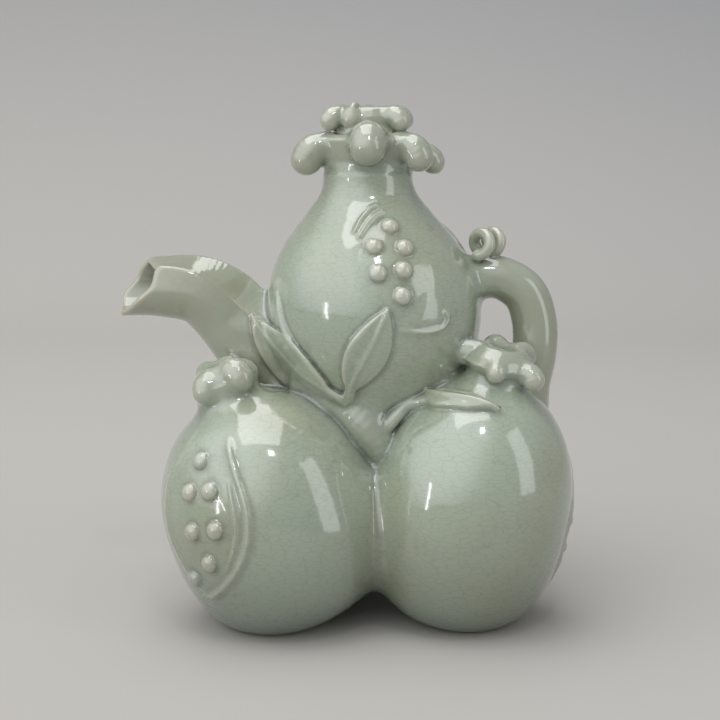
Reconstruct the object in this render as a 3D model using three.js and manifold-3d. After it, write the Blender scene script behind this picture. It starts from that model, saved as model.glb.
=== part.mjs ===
// A celadon ewer in the form of four pomegranates: three nested below and one above them.
// The potter makes every fruit, calyx, leaf and seed separately and lutes them together with slip,
// so each of those pieces is a mesh of its own here, a small luting gap from what carries it.
// Millimetres, +Z up. The spout points along -X, the handle along +X and the front faces -Y.
import * as THREE from "three";
import { mergeVertices } from "three/addons/utils/BufferGeometryUtils.js";
import Module from "manifold-3d";

const wasm = await Module();
wasm.setup();
const { Manifold, Mesh: SolidMesh } = wasm;

// Driving dimensions
const WALL = 4; // thrown wall of every fruit
const PRESSED_WALL = 2.6; // wall left where one fruit is pressed against another
const LUTING_GAP = 0.3; // between pieces that are luted together
const SIDE_PRESS = 5.4; // how far neighbouring lower fruits are pressed into each other
const SEAT_PRESS = 1.6; // how far the upper fruit is pressed into the lower ones, at the least
const LEFT_RADIUS = 38.4;
const RIGHT_RADIUS = 35.4;
const REAR_RADIUS = 37;
// From a lower fruit's base to the neck under its calyx
const LEFT_HEIGHT = 86;
const RIGHT_HEIGHT = 91;
const REAR_HEIGHT = 87;
const FOOT_DEPTH = 1.4; // how much of a lower fruit's base is pressed flat
const UPPER_RADIUS = 38.3;
const UPPER_HEIGHT = 91.5;
const UPPER_LEAN = -0.053; // sideways drift of the upper fruit's axis for each millimetre of height
const PASSAGE_RADIUS = 7; // holes that join the upper cavity to the lower ones
const LUTING_RADIUS = 10; // of the roll of clay that closes the joint round a passage
const PASSAGE_SHIFT = 3; // outwards from where the fruits first touch
const MOUTH_RADIUS = 10.5;
const CROWN_HEIGHT = 11; // from the neck's rim to the seat of the lid
const CROWN_LIP = 3.4; // how far the crown stands up round the lid's seat
const LID_SEAT_RADIUS = 13.2; // room inside the crown's petals
const LID_PLATE_RADIUS = 11.6;
const LID_PLATE = 3;
const LID_CLEARANCE = 0.8; // round the lid's plug in the mouth
const LID_PLUG_DEPTH = 7.5;
const LEFT_STEM = 5; // from a fruit's neck up to its calyx
const RIGHT_STEM = 4.5;
const REAR_STEM = 5;
const SPOUT_WALL = 3;
const SPOUT_HALF_DEPTH = 10.2; // front to back
const SPOUT_REACH = 84.3; // from the upper fruit's axis to the middle of the mouth
const HANDLE_RADIUS = 7.4;
const HANDLE_REACH = 57.5; // from the upper fruit's axis to the handle's centreline
const SEED_RADIUS = 3;
const SEED_HEIGHT = 2.2;
const POCKET_DEPTH = 0.9; // how deep the skin is cut away round the seeds
const LIP_HEIGHT = 0.9; // how far the torn skin stands up round a pocket
const LIP_WIDTH = 2.6;
const LEAF_THICKNESS = 2.4;
const TENDRIL_THREAD_RADIUS = 1.5;
const TENDRIL_LOOP_RADIUS = 3.6;
const TENDRIL_PITCH = 5.4;

// Outlines from the base to the neck, as shares of a fruit's radius and height
const LOWER_OUTLINE = [
  [0, 0],
  [0.43, 0.02],
  [0.69, 0.08],
  [0.875, 0.18],
  [0.98, 0.33],
  [1, 0.49],
  [0.955, 0.65],
  [0.82, 0.79],
  [0.61, 0.9],
  [0.38, 0.965],
  [0.27, 1],
];
const UPPER_OUTLINE = [
  [0, 0],
  [0.4, 0.035],
  [0.72, 0.15],
  [0.93, 0.31],
  [1, 0.47],
  [0.95, 0.61],
  [0.8, 0.735],
  [0.6, 0.84],
  [0.45, 0.925],
  [0.405, 1],
];

// Fineness of the facets
const FRUIT_SIDES = 24;
const FRUIT_RINGS = 13;
const CAVITY_SIDES = 16;
const CAVITY_RINGS = 8;
const PETAL_SIDES = 6;
const LEAF_STEPS = 8;

const UP = new THREE.Vector3(0, 0, 1);
const v3 = (x, y, z) => new THREE.Vector3(x, y, z);
const radians = THREE.MathUtils.degToRad;

// Solids and meshes

function solid(geometry) {
  const bare = geometry.clone();
  bare.deleteAttribute("normal");
  bare.deleteAttribute("uv");
  const merged = mergeVertices(bare, 1e-4);
  const vertProperties = merged.attributes.position.array;
  return new Manifold(
    new SolidMesh({ numProp: 3, vertProperties, triVerts: new Uint32Array(merged.index.array) }),
  );
}

// Slivers that cutting leaves behind are merged away, within a tenth of the luting gap.
function geometryOf(body) {
  const mesh = body.simplify(LUTING_GAP / 10).getMesh();
  const geometry = new THREE.BufferGeometry();
  geometry.setAttribute("position", new THREE.BufferAttribute(mesh.vertProperties, 3));
  geometry.setIndex(new THREE.BufferAttribute(mesh.triVerts, 1));
  geometry.computeVertexNormals();
  return geometry;
}

const union = (bodies) => bodies.reduce((all, body) => all.add(body));
const cutBy = (body, cutters) => cutters.reduce((left, cutter) => left.subtract(cutter), body);

// Where cutting has left chips beside the piece itself, only the piece is kept.
function largest(body) {
  const pieces = body.decompose();
  return pieces.reduce((best, piece) => (piece.volume() > best.volume() ? piece : best));
}

// A closed surface through rings of equal count, with a fan at each end.
function loft(rings) {
  const sides = rings[0].length;
  const points = rings.flat();
  const middles = [rings[0], rings[rings.length - 1]].map((ring) =>
    ring.reduce((sum, p) => sum.add(p), v3(0, 0, 0)).divideScalar(sides),
  );
  const start = points.length;
  const faces = [];
  for (let i = 0; i < sides; i++) {
    const next = (i + 1) % sides;
    faces.push(start, next, i);
    for (let ring = 0; ring < rings.length - 1; ring++) {
      const a = ring * sides;
      const b = a + sides;
      faces.push(a + i, a + next, b + next, a + i, b + next, b + i);
    }
    const last = start - sides;
    faces.push(start + 1, last + i, last + next);
  }
  const geometry = new THREE.BufferGeometry().setFromPoints([...points, ...middles]);
  geometry.setIndex(faces);
  return geometry;
}

// Rings of an elliptic section along a curve. `side` is the direction of the section's second radius.
function sweep(curve, steps, sides, radii, side) {
  const rings = [];
  for (let step = 0; step <= steps; step++) {
    const share = step / steps;
    const tangent = curve.getTangentAt(share);
    const across = side.clone().addScaledVector(tangent, -side.dot(tangent)).normalize();
    const rise = tangent.clone().cross(across).normalize();
    const [rise_radius, across_radius] = radii(share);
    const centre = curve.getPointAt(share);
    rings.push(
      Array.from({ length: sides }, (_, i) => {
        const angle = (2 * Math.PI * i) / sides;
        return centre
          .clone()
          .addScaledVector(across, across_radius * Math.cos(angle))
          .addScaledVector(rise, rise_radius * Math.sin(angle));
      }),
    );
  }
  return loft(rings);
}

function disc(radius, bottom, top, sides) {
  const geometry = new THREE.CylinderGeometry(radius, radius, top - bottom, sides);
  return geometry.rotateX(Math.PI / 2).translate(0, 0, (top + bottom) / 2);
}

// Radii between listed [share, radius] pairs, eased so that a limb swells smoothly.
function radiusAlong(pairs, share) {
  const upper = pairs.findIndex(([at]) => at >= share);
  if (upper <= 0) return pairs[0][1];
  const [from, low] = pairs[upper - 1];
  const [to, high] = pairs[upper];
  const t = (share - from) / (to - from);
  return low + (high - low) * t * t * (3 - 2 * t);
}

// Fruits

class Fruit {
  constructor({ outline, radius, height, base, tilt = 0, towards = 0, lean = 0 }) {
    const corners = outline.map(([r, z]) => new THREE.Vector2(r * radius, z * height));
    this.curve = new THREE.SplineCurve(corners);
    this.radius = radius;
    this.height = height;
    this.lean = lean;
    this.samples = this.curve.getPoints(90);
    const belly = this.samples.reduce((best, p) => (p.x > best.x ? p : best));
    this.bellyHeight = belly.y;
    // A tilted fruit turns about the middle of its belly.
    const axis = v3(-Math.sin(towards), Math.cos(towards), 0);
    this.matrix = new THREE.Matrix4()
      .makeTranslation(base.x, base.y, base.z + belly.y)
      .multiply(new THREE.Matrix4().makeRotationAxis(axis, tilt))
      .multiply(new THREE.Matrix4().makeTranslation(0, 0, -belly.y));
  }

  profileAt(rise) {
    const i = Math.max(1, this.samples.findIndex((p) => p.y >= rise));
    const [a, b] = [this.samples[i - 1], this.samples[i]];
    const along = b.clone().sub(a);
    const t = along.y === 0 ? 0 : (rise - a.y) / along.y;
    return { radius: a.x + along.x * t, outward: new THREE.Vector2(along.y, -along.x).normalize() };
  }

  // The point of the skin at a height above the base and an angle round the axis, raised by `lift`.
  point(angle, rise, lift = 0) {
    const { radius, outward } = this.profileAt(rise);
    const r = radius + outward.x * lift;
    const z = rise + outward.y * lift;
    const x = r * Math.cos(angle) + this.lean * (z - this.bellyHeight);
    return v3(x, r * Math.sin(angle), z).applyMatrix4(this.matrix);
  }

  normal(angle, rise) {
    return this.point(angle, rise, 1).sub(this.point(angle, rise)).normalize();
  }

  // A lathed body whose skin lies `grow` outside the fruit's own, from a base to an open neck.
  body(grow, sides, rings, top = this.height) {
    const profile = this.curve.getPoints(rings).map((p, i, all) => {
      const before = all[Math.max(0, i - 1)];
      const after = all[Math.min(rings, i + 1)];
      const outward = new THREE.Vector2(after.y - before.y, before.x - after.x).normalize();
      if (i === 0) outward.set(0, -1);
      if (i === rings) outward.set(1, 0);
      return p.clone().addScaledVector(outward, grow);
    });
    profile[0].x = 0;
    profile[rings].y = top;
    profile.push(new THREE.Vector2(0, top));
    const kept = profile.filter((p, i) => i === 0 || i > rings || p.x > 0.01);
    const geometry = new THREE.LatheGeometry(kept, sides).rotateX(Math.PI / 2);
    const position = geometry.attributes.position;
    for (let i = 0; i < position.count; i++)
      position.setX(i, position.getX(i) + this.lean * (position.getZ(i) - this.bellyHeight));
    return solid(geometry.applyMatrix4(this.matrix));
  }

  skin(grow = 0) {
    return this.body(grow, FRUIT_SIDES, FRUIT_RINGS, this.height + Math.max(0, grow));
  }
}

// Three fruits that press against each other, placed round the middle of the nest.
function nest(left, right, rear) {
  const across = left + right - SIDE_PRESS;
  const leftReach = left + rear - SIDE_PRESS;
  const rightReach = right + rear - SIDE_PRESS;
  const rearX = (across ** 2 + leftReach ** 2 - rightReach ** 2) / (2 * across);
  const rearY = Math.sqrt(leftReach ** 2 - rearX ** 2);
  const middle = v3((across + rearX) / 3, rearY / 3, 0);
  return [v3(0, 0, 0), v3(across, 0, 0), v3(rearX, rearY, 0)].map((p) => p.sub(middle));
}

const [leftPlace, rightPlace, rearPlace] = nest(LEFT_RADIUS, RIGHT_RADIUS, REAR_RADIUS);

function lowerFruit(radius, height, place, tilt, towards) {
  return new Fruit({
    outline: LOWER_OUTLINE,
    radius,
    height,
    base: place.clone().setZ(-FOOT_DEPTH),
    tilt: radians(tilt),
    towards: radians(towards),
  });
}

const leftFruit = lowerFruit(LEFT_RADIUS, LEFT_HEIGHT, leftPlace, 20, 180);
const rightFruit = lowerFruit(RIGHT_RADIUS, RIGHT_HEIGHT, rightPlace, 11, -15);
const rearFruit = lowerFruit(REAR_RADIUS, REAR_HEIGHT, rearPlace, 17, 85);
const lowerFruits = [leftFruit, rightFruit, rearFruit];

const upperShape = { outline: UPPER_OUTLINE, radius: UPPER_RADIUS, height: UPPER_HEIGHT, lean: UPPER_LEAN };

// Where the upper fruit would first touch each lower one: the place, and the height of its own base.
function contacts() {
  const trial = new Fruit({ ...upperShape, base: v3(0, 0, 0) });
  return lowerFruits.map((fruit, i) => {
    const place = [leftPlace, rightPlace, rearPlace][i];
    const facing = Math.atan2(-place.y, -place.x);
    let touch = { height: 0 };
    for (let share = 0.45; share < 0.95; share += 0.01) {
      const crest = fruit.point(facing, share * fruit.height);
      const away = Math.hypot(crest.x, crest.y);
      const under = trial.samples.find((p) => p.x >= away);
      if (under && crest.z - under.y > touch.height) touch = { place: crest, height: crest.z - under.y };
    }
    return touch;
  });
}

// The upper fruit is pressed into every lower one by SEAT_PRESS or more.
const touches = contacts();
const seatHeight = Math.min(...touches.map((touch) => touch.height)) - SEAT_PRESS;
const upperFruit = new Fruit({ ...upperShape, base: v3(0, 0, seatHeight) });
const neckRim = upperFruit.point(0, UPPER_HEIGHT).z;
const mouthAxis = v3(UPPER_LEAN * (UPPER_HEIGHT - upperFruit.bellyHeight), 0, neckRim);

// Spout and handle

const spoutHeight = upperFruit.point(0, 0.565 * UPPER_HEIGHT).z; // of the middle of its mouth
// A place beside the upper fruit, in shares of its radius from its axis and the spout's height.
const besideUpper = (x, y, z) => v3(x, y, z).multiplyScalar(UPPER_RADIUS).add(v3(0, 0, spoutHeight));
const spoutCurve = new THREE.CatmullRomCurve3([
  besideUpper(-0.705, 0, -0.992),
  besideUpper(-0.992, 0, -0.731),
  besideUpper(-1.214, 0, -0.431),
  besideUpper(-1.423, 0, -0.183),
  besideUpper(-1.671, 0, -0.031),
  besideUpper(-1.984, 0, 0.01),
  besideUpper(-2.298, 0, 0.005),
  v3(-SPOUT_REACH - 18, 0, spoutHeight),
]);
const MOUTH_SLANT = radians(35); // the cut that opens the mouth leans back by this much
const SPOUT_HALF_HEIGHTS = [
  [0, 11],
  [0.2, 14.5],
  [0.42, 13.8],
  [0.62, 12],
  [0.82, 10.9],
  [1, 10.6],
];

function spoutBody(grow) {
  const radii = (share) => [
    radiusAlong(SPOUT_HALF_HEIGHTS, share) + grow,
    SPOUT_HALF_DEPTH * (share < 0.4 ? 1.2 - share / 2 : 1) + grow,
  ];
  return solid(sweep(spoutCurve, 14, 12, radii, v3(0, 1, 0)));
}

const handleTop = upperFruit.point(0, 0.6 * UPPER_HEIGHT, -3);
const handleFoot = rightFruit.point(radians(52), 0.84 * RIGHT_HEIGHT, -2);
const handleCurve = new THREE.CatmullRomCurve3([
  handleTop,
  handleTop.clone().add(v3(7, 0, 0.8)),
  v3(HANDLE_REACH - 11, 0, handleTop.z - 0.2),
  v3(HANDLE_REACH - 3.5, -0.5, handleTop.z - 5.5),
  v3(HANDLE_REACH, -1, handleTop.z - 15.5),
  v3(HANDLE_REACH, -2, handleTop.z - 27),
  v3(HANDLE_REACH - 2, -3, handleTop.z - 38),
  handleFoot,
]);

function handleBody(grow) {
  const radii = (share) => {
    const radius = HANDLE_RADIUS * (1 + 0.1 * Math.sin(Math.PI * share)) + grow;
    return [radius, radius];
  };
  return solid(sweep(handleCurve, 14, 10, radii, v3(0, 1, 0)));
}

// Calyxes: a collar that opens into blunt, rolled petals

// A petal leaves the collar, arches a little and ends in a blunt tip whose middle is at `reach` and `lift`.
function petal({ angle, reach, radius, lift }, root) {
  const out = v3(Math.cos(radians(angle)), Math.sin(radians(angle)), 0);
  const at = (away, height) => out.clone().multiplyScalar(away).setZ(height);
  const curve = new THREE.CatmullRomCurve3([
    at(reach * root, lift - 0.35 * radius),
    at(reach * 0.74, lift + 0.12 * radius),
    at(reach, lift - 0.05 * radius),
    at(reach + 0.7 * radius, lift - 1.05 * radius),
  ]);
  const swell = [
    [0, 0.8],
    [0.35, 0.9],
    [0.65, 1],
    [0.82, 0.95],
    [0.93, 0.68],
    [1, 0.3],
  ];
  const radii = (share) => {
    const r = radius * radiusAlong(swell, share);
    return [r * 0.94, r];
  };
  return solid(sweep(curve, 6, PETAL_SIDES, radii, v3(-out.y, out.x, 0)));
}

const petals = (sizes, root) => union(sizes.map((size) => petal(size, root)));

// Heights of the petals' tips are above the neck's rim for the crown, the lid's seat for the lid
// and the end of the stem for the smaller calyxes.
const CROWN_PETALS = [
  { angle: -90, reach: 16.5, radius: 6.8, lift: 11.6 },
  { angle: -38, reach: 20.4, radius: 5.4, lift: 9 },
  { angle: 8, reach: 22, radius: 4.6, lift: 5.9 },
  { angle: 72, reach: 19.2, radius: 5.4, lift: 8.6 },
  { angle: 133, reach: 19.2, radius: 5.4, lift: 8.6 },
  { angle: -164, reach: 20.1, radius: 5.9, lift: 8.2 },
];
const LID_PETALS = [
  { angle: -152, reach: 14.1, radius: 3.8, lift: 8.4 },
  { angle: -38, reach: 13.4, radius: 4, lift: 8.3 },
  { angle: 25, reach: 13.2, radius: 3.9, lift: 8.5 },
  { angle: 88, reach: 13, radius: 4, lift: 8.5 },
  { angle: 148, reach: 13, radius: 4, lift: 8.5 },
];
const LEFT_PETALS = [
  { angle: -49, reach: 9.5, radius: 5.4, lift: 1.4 },
  { angle: -127, reach: 9, radius: 4.7, lift: 0.6 },
  { angle: 135, reach: 8.2, radius: 3.4, lift: 3.6 },
  { angle: 70, reach: 8, radius: 4.2, lift: 2 },
  { angle: 12, reach: 8.5, radius: 4, lift: 0.4 },
];
const RIGHT_PETALS = [
  { angle: 174, reach: 12.2, radius: 4.1, lift: 1.7 },
  { angle: -100, reach: 11.2, radius: 3.5, lift: -1 },
  { angle: -39, reach: 14, radius: 4.2, lift: -1.2 },
  { angle: 38, reach: 11.5, radius: 4, lift: 3 },
  { angle: 100, reach: 10.8, radius: 4, lift: 3.6 },
];
const REAR_PETALS = [50, 122, 194, 266, 338].map((angle) => ({ angle, reach: 10.5, radius: 4.2, lift: 0 }));

function crownCalyx() {
  const neck = upperFruit.profileAt(UPPER_HEIGHT).radius;
  const sides = 24;
  const collarProfile = [
    [0, LUTING_GAP],
    [neck, LUTING_GAP],
    [neck - 0.4, CROWN_HEIGHT * 0.45],
    [neck + 0.4, CROWN_HEIGHT * 0.8],
    [neck + 1.6, CROWN_HEIGHT + 2],
    [neck + 0.9, CROWN_HEIGHT + CROWN_LIP],
    [0, CROWN_HEIGHT + CROWN_LIP],
  ].map(([r, z]) => new THREE.Vector2(r, z));
  const collar = solid(new THREE.LatheGeometry(collarProfile, sides).rotateX(Math.PI / 2));
  const mouth = solid(disc(MOUTH_RADIUS, -1, CROWN_HEIGHT + 20, 24));
  const above = solid(disc(LID_SEAT_RADIUS, CROWN_HEIGHT, CROWN_HEIGHT + 12, 24));
  const crown = cutBy(collar.add(petals(CROWN_PETALS, 0.5)), [mouth, above]);
  return crown.translate([mouthAxis.x, mouthAxis.y, mouthAxis.z]);
}

// The lid is a smaller calyx over a plug that drops into the mouth. A cord ties through its hook.
const lidSeat = mouthAxis.z + CROWN_HEIGHT + LUTING_GAP;

function lid() {
  const plate = solid(disc(LID_PLATE_RADIUS, 0, LID_PLATE, 24));
  const bud = solid(new THREE.SphereGeometry(8.6, 12, 7).scale(1, 1, 0.8).translate(0, 0, 5.5));
  const dish = solid(new THREE.SphereGeometry(8, 12, 7).translate(0, 0, 16));
  const below = solid(disc(40, -12, 0, 12));
  const plug = solid(disc(MOUTH_RADIUS - LID_CLEARANCE, -LID_PLUG_DEPTH, 1, 24));
  const hook = new THREE.TorusGeometry(2, 0.9, 6, 10).rotateX(Math.PI / 2);
  hook.rotateZ(radians(60)).translate(-3, -2.6, 10.8);
  const stalk = disc(2, LID_PLATE, 9.4, 10).translate(-3, -2.6, 0);
  const flower = cutBy(union([plate, bud, petals(LID_PETALS, 0.35)]), [dish, below]);
  return union([flower, plug, solid(stalk), solid(hook)]).translate([mouthAxis.x, mouthAxis.y, lidSeat]);
}

function smallCalyx(fruit, stem, sizes) {
  const collarRadius = fruit.profileAt(fruit.height).radius + 0.5;
  const top = fruit.height + stem;
  const collar = solid(disc(collarRadius, fruit.height - 3, top + 2, 14));
  const dish = new THREE.SphereGeometry(9, 10, 6).translate(0, 0, top + 11.2);
  const flower = collar.add(petals(sizes, 0.3).translate([0, 0, top + 1])).subtract(solid(dish));
  return solid(geometryOf(flower).applyMatrix4(fruit.matrix)).subtract(fruit.skin(LUTING_GAP));
}

// Openings in the skin, with seeds

// The pocket's outline is an almond that runs along the fruit's axis, seen along the normal at its middle.
function pocketPrism(fruit, { angle, rise, length, width }, margin) {
  const outline = new THREE.Shape();
  const half = length / 2 + margin;
  const bulge = (width / 2 + margin) * 2;
  outline.moveTo(0, -half);
  outline.quadraticCurveTo(bulge, 0, 0, half);
  outline.quadraticCurveTo(-bulge, 0, 0, -half);
  const prism = new THREE.ExtrudeGeometry(outline, {
    depth: fruit.radius,
    bevelEnabled: false,
    curveSegments: 5,
  });
  const out = fruit.normal(angle, rise);
  const axis = UP.clone().transformDirection(fruit.matrix);
  const across = axis.clone().cross(out).normalize();
  const basis = new THREE.Matrix4().makeBasis(across, out.clone().cross(across), out);
  basis.setPosition(fruit.point(angle, rise, -0.8 * fruit.radius));
  return solid(prism.applyMatrix4(basis));
}

// Everything inside the lip of a pocket, raised and widened by `grow`.
function lipBody(fruit, pocket, grow) {
  return pocketPrism(fruit, pocket, LIP_WIDTH + grow).intersect(fruit.skin(LIP_HEIGHT + grow));
}

function openSkin(fruit, skin, pocket) {
  const inside = pocketPrism(fruit, pocket, 0);
  const lip = lipBody(fruit, pocket, 0).subtract(inside);
  const scooped = inside.subtract(fruit.skin(-POCKET_DEPTH));
  return skin.add(lip).subtract(scooped);
}

// Seeds lie in rows inside the pocket: each place is [share of its half width, share of its half length].
function seedFrames(fruit, pocket, places) {
  return places.map(([side, along]) => {
    const rise = pocket.rise + (along * pocket.length) / 2;
    const angle = pocket.angle + (side * pocket.width) / 2 / fruit.profileAt(rise).radius;
    const turn = new THREE.Quaternion().setFromUnitVectors(UP, fruit.normal(angle, rise));
    const place = fruit.point(angle, rise, LUTING_GAP - POCKET_DEPTH);
    return new THREE.Matrix4().compose(place, turn, v3(1, 1, 1));
  });
}

function seeds(name, fruit, pocket, places) {
  const profile = [
    [0, 0],
    [SEED_RADIUS * 0.96, 0],
    [SEED_RADIUS, SEED_HEIGHT * 0.45],
    [SEED_RADIUS * 0.62, SEED_HEIGHT * 0.9],
    [0, SEED_HEIGHT],
  ].map(([r, z]) => new THREE.Vector2(r, z));
  const geometry = new THREE.LatheGeometry(profile, 8).rotateX(Math.PI / 2);
  return seedFrames(fruit, pocket, places).map((frame, i) => {
    const mesh = glazedMesh(`${name}_${i + 1}`, solid(geometry), seedGlaze);
    mesh.applyMatrix4(frame);
    return mesh;
  });
}

// Room for the seeds where a pocket's edge or floor comes too near them.
function seedRooms(fruit, pocket, places) {
  const room = disc(SEED_RADIUS + LUTING_GAP, -LUTING_GAP, SEED_HEIGHT + 1, 8);
  return seedFrames(fruit, pocket, places).map((frame) => solid(room.clone().applyMatrix4(frame)));
}

// Leaves: a midrib curve with a lens-shaped section that bends over what the leaf lies on

function leaf(midrib, lifts, halfWidth, thickness, bend) {
  const rings = [];
  const sides = 8;
  for (let step = 0; step <= LEAF_STEPS; step++) {
    const share = step / LEAF_STEPS;
    const centre = midrib.getPointAt(share);
    const tangent = midrib.getTangentAt(share);
    const lift = lifts(centre, share);
    const across = lift.clone().cross(tangent).normalize();
    const out = tangent.clone().cross(across).normalize();
    const wide = halfWidth(share);
    const thick = (thickness / 2) * (0.45 + 0.55 * Math.sin(Math.PI * Math.min(1, share + 0.12)));
    rings.push(
      Array.from({ length: sides }, (_, i) => {
        const angle = (2 * Math.PI * i) / sides;
        const s = Math.cos(angle);
        const height = Math.sin(angle) * thick - bend * (wide * s) ** 2;
        return centre.clone().addScaledVector(across, wide * s).addScaledVector(out, height);
      }),
    );
  }
  return solid(loft(rings));
}

// A leaf blade that starts as a stem and swells before its tip.
function blade(stem, width) {
  return (share) => {
    const swell = Math.sin(Math.PI * Math.min(1, Math.max(0, (share - 0.16) / 0.86)));
    return Math.max(0.5, stem * (1 - share) + (width / 2) * swell ** 0.8);
  };
}

// Stations are [angle in degrees, share of the fruit's height].
const stationsOn = (fruit, stations) =>
  stations.map(([angle, share]) =>
    fruit.point(radians(angle), share * fruit.height, LUTING_GAP + LEAF_THICKNESS / 2),
  );

function leafOn(fruit, stations, width, stem) {
  const midrib = new THREE.CatmullRomCurve3(stationsOn(fruit, stations));
  const axisPoint = v3(0, 0, fruit.bellyHeight).applyMatrix4(fruit.matrix);
  const lifts = (centre) => centre.clone().sub(axisPoint).normalize();
  return leaf(midrib, lifts, blade(stem, width), LEAF_THICKNESS, 0.4 / fruit.radius);
}

// Colours of the glaze, and one mesh for each luted piece

const glaze = new THREE.MeshStandardMaterial({ color: 0xa3b1a1, roughness: 0.18, metalness: 0 });
const seedGlaze = new THREE.MeshStandardMaterial({ color: 0xb9c2b4, roughness: 0.18, metalness: 0 });
const ewer = new THREE.Group();

function glazedMesh(name, body, material = glaze) {
  const mesh = new THREE.Mesh(geometryOf(body), material);
  mesh.name = name;
  return mesh;
}

const piece = (name, body) => ewer.add(glazedMesh(name, body));

// Rises and lengths are shares of the fruit's height, widths are shares of its radius.
const pocketOn = (fruit, angle, rise, length, width) => ({
  angle: radians(angle),
  rise: rise * fruit.height,
  length: length * fruit.height,
  width: width * fruit.radius,
});
const upperPocket = pocketOn(upperFruit, -77, 0.667, 0.481, 0.783);
const leftPocket = pocketOn(leftFruit, -126, 0.605, 0.674, 0.885);
const rightPocket = pocketOn(rightFruit, 8, 0.418, 0.527, 0.734);
const rearPocket = pocketOn(rearFruit, 90, 0.483, 0.62, 0.81);

const UPPER_SEEDS = [
  [0.06, 0.62],
  [-0.38, 0.35],
  [0.32, 0.33],
  [-0.42, -0.03],
  [0.2, 0],
  [0.09, -0.39],
];
const LEFT_SEEDS = [
  [0.2, 0.72],
  [-0.15, 0.42],
  [0.41, 0.41],
  [-0.17, -0.04],
  [0.43, -0.05],
  [0.07, -0.44],
  [-0.52, -0.64],
];
const LOWER_SEEDS = [
  [0.05, 0.62],
  [-0.36, 0.28],
  [0.34, 0.28],
  [-0.4, -0.14],
  [0.4, -0.12],
  [0.2, -0.5],
  [-0.3, -0.62],
];

// A wall is left between a cavity and the neighbours that its fruit is pressed against.
function cavity(fruit, top, neighbours) {
  const room = fruit.body(-WALL, CAVITY_SIDES, CAVITY_RINGS, top);
  const margin = LUTING_GAP + PRESSED_WALL;
  return cutBy(
    room,
    neighbours.map((other) => other.body(margin, CAVITY_SIDES, CAVITY_RINGS, other.height)),
  );
}

const cavities = lowerFruits.map((fruit, i) =>
  cavity(fruit, fruit.height - 2 * WALL, lowerFruits.slice(0, i)),
);
const upperCavity = cavity(upperFruit, UPPER_HEIGHT + 1, lowerFruits);
const passages = touches.map(({ place }) => {
  const away = 1 + PASSAGE_SHIFT / Math.hypot(place.x, place.y);
  const hole = disc(PASSAGE_RADIUS, place.z - 16, place.z + 16, 12);
  return solid(hole.translate(place.x * away, place.y * away, 0));
});
const spoutBore = solid(
  sweep(
    spoutCurve,
    12,
    10,
    (share) => [
      Math.min(radiusAlong(SPOUT_HALF_HEIGHTS, share) - SPOUT_WALL, 5 + 12 * share),
      Math.min(SPOUT_HALF_DEPTH - SPOUT_WALL, 5 + 8 * share),
    ],
    v3(0, 1, 0),
  ),
);
const lutings = touches.map(({ place }) => {
  const away = 1 + PASSAGE_SHIFT / Math.hypot(place.x, place.y);
  const roll = (grow) => disc(LUTING_RADIUS + grow, place.z - 9 - grow, place.z + 11 + grow, 16);
  return (grow) => solid(roll(grow).translate(place.x * away, place.y * away, 0));
});
const ground = solid(new THREE.BoxGeometry(400, 400, 40).translate(0, 0, -20));

const grownLeft = leftFruit.skin(LUTING_GAP);
const grownRight = rightFruit.skin(LUTING_GAP);
const grownRear = rearFruit.skin(LUTING_GAP);
const grownUpper = upperFruit.skin(LUTING_GAP);
const grownFruits = [grownLeft, grownRight, grownRear, grownUpper];

function fruitShell(fruit, pocket, cutters) {
  return largest(cutBy(openSkin(fruit, fruit.skin(), pocket), cutters));
}

const leftSeedRooms = seedRooms(leftFruit, leftPocket, LEFT_SEEDS);
const leftCutters = [cavities[0], passages[0], ground, ...leftSeedRooms];
const rightCutters = [cavities[1], passages[1], ground, grownLeft];
const rearCutters = [cavities[2], passages[2], ground, grownLeft, grownRight];
const upperCutters = [upperCavity, ...passages, spoutBore, grownLeft, grownRight, grownRear];
const luted = (skin) => skin.add(union(lutings.map((luting) => luting(0))));
const grownLutings = lutings.map((luting) => luting(LUTING_GAP));
piece("lower_left_fruit", fruitShell(leftFruit, leftPocket, leftCutters));
piece("lower_right_fruit", fruitShell(rightFruit, rightPocket, rightCutters));
piece("lower_rear_fruit", fruitShell(rearFruit, rearPocket, rearCutters));
const openUpper = luted(openSkin(upperFruit, upperFruit.skin(), upperPocket));
piece("upper_fruit", largest(cutBy(openUpper, upperCutters)));

const mouthCut = solid(
  new THREE.BoxGeometry(80, 120, 120)
    .translate(-40, 0, 0)
    .rotateY(MOUTH_SLANT)
    .translate(-SPOUT_REACH, 0, spoutHeight),
);
const spout = largest(cutBy(spoutBody(0), [spoutBore, mouthCut, ...grownFruits, ...grownLutings]));
piece("spout", spout);
const grownSpout = spoutBody(LUTING_GAP);

const handle = largest(cutBy(handleBody(0), [grownUpper, grownRight]));
piece("handle", handle);

piece("crown_calyx", crownCalyx());
const leftCalyx = smallCalyx(leftFruit, LEFT_STEM, LEFT_PETALS);
piece("left_calyx", largest(cutBy(leftCalyx, [grownSpout, grownUpper])));
piece("rear_calyx", largest(smallCalyx(rearFruit, REAR_STEM, REAR_PETALS).subtract(grownUpper)));

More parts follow.
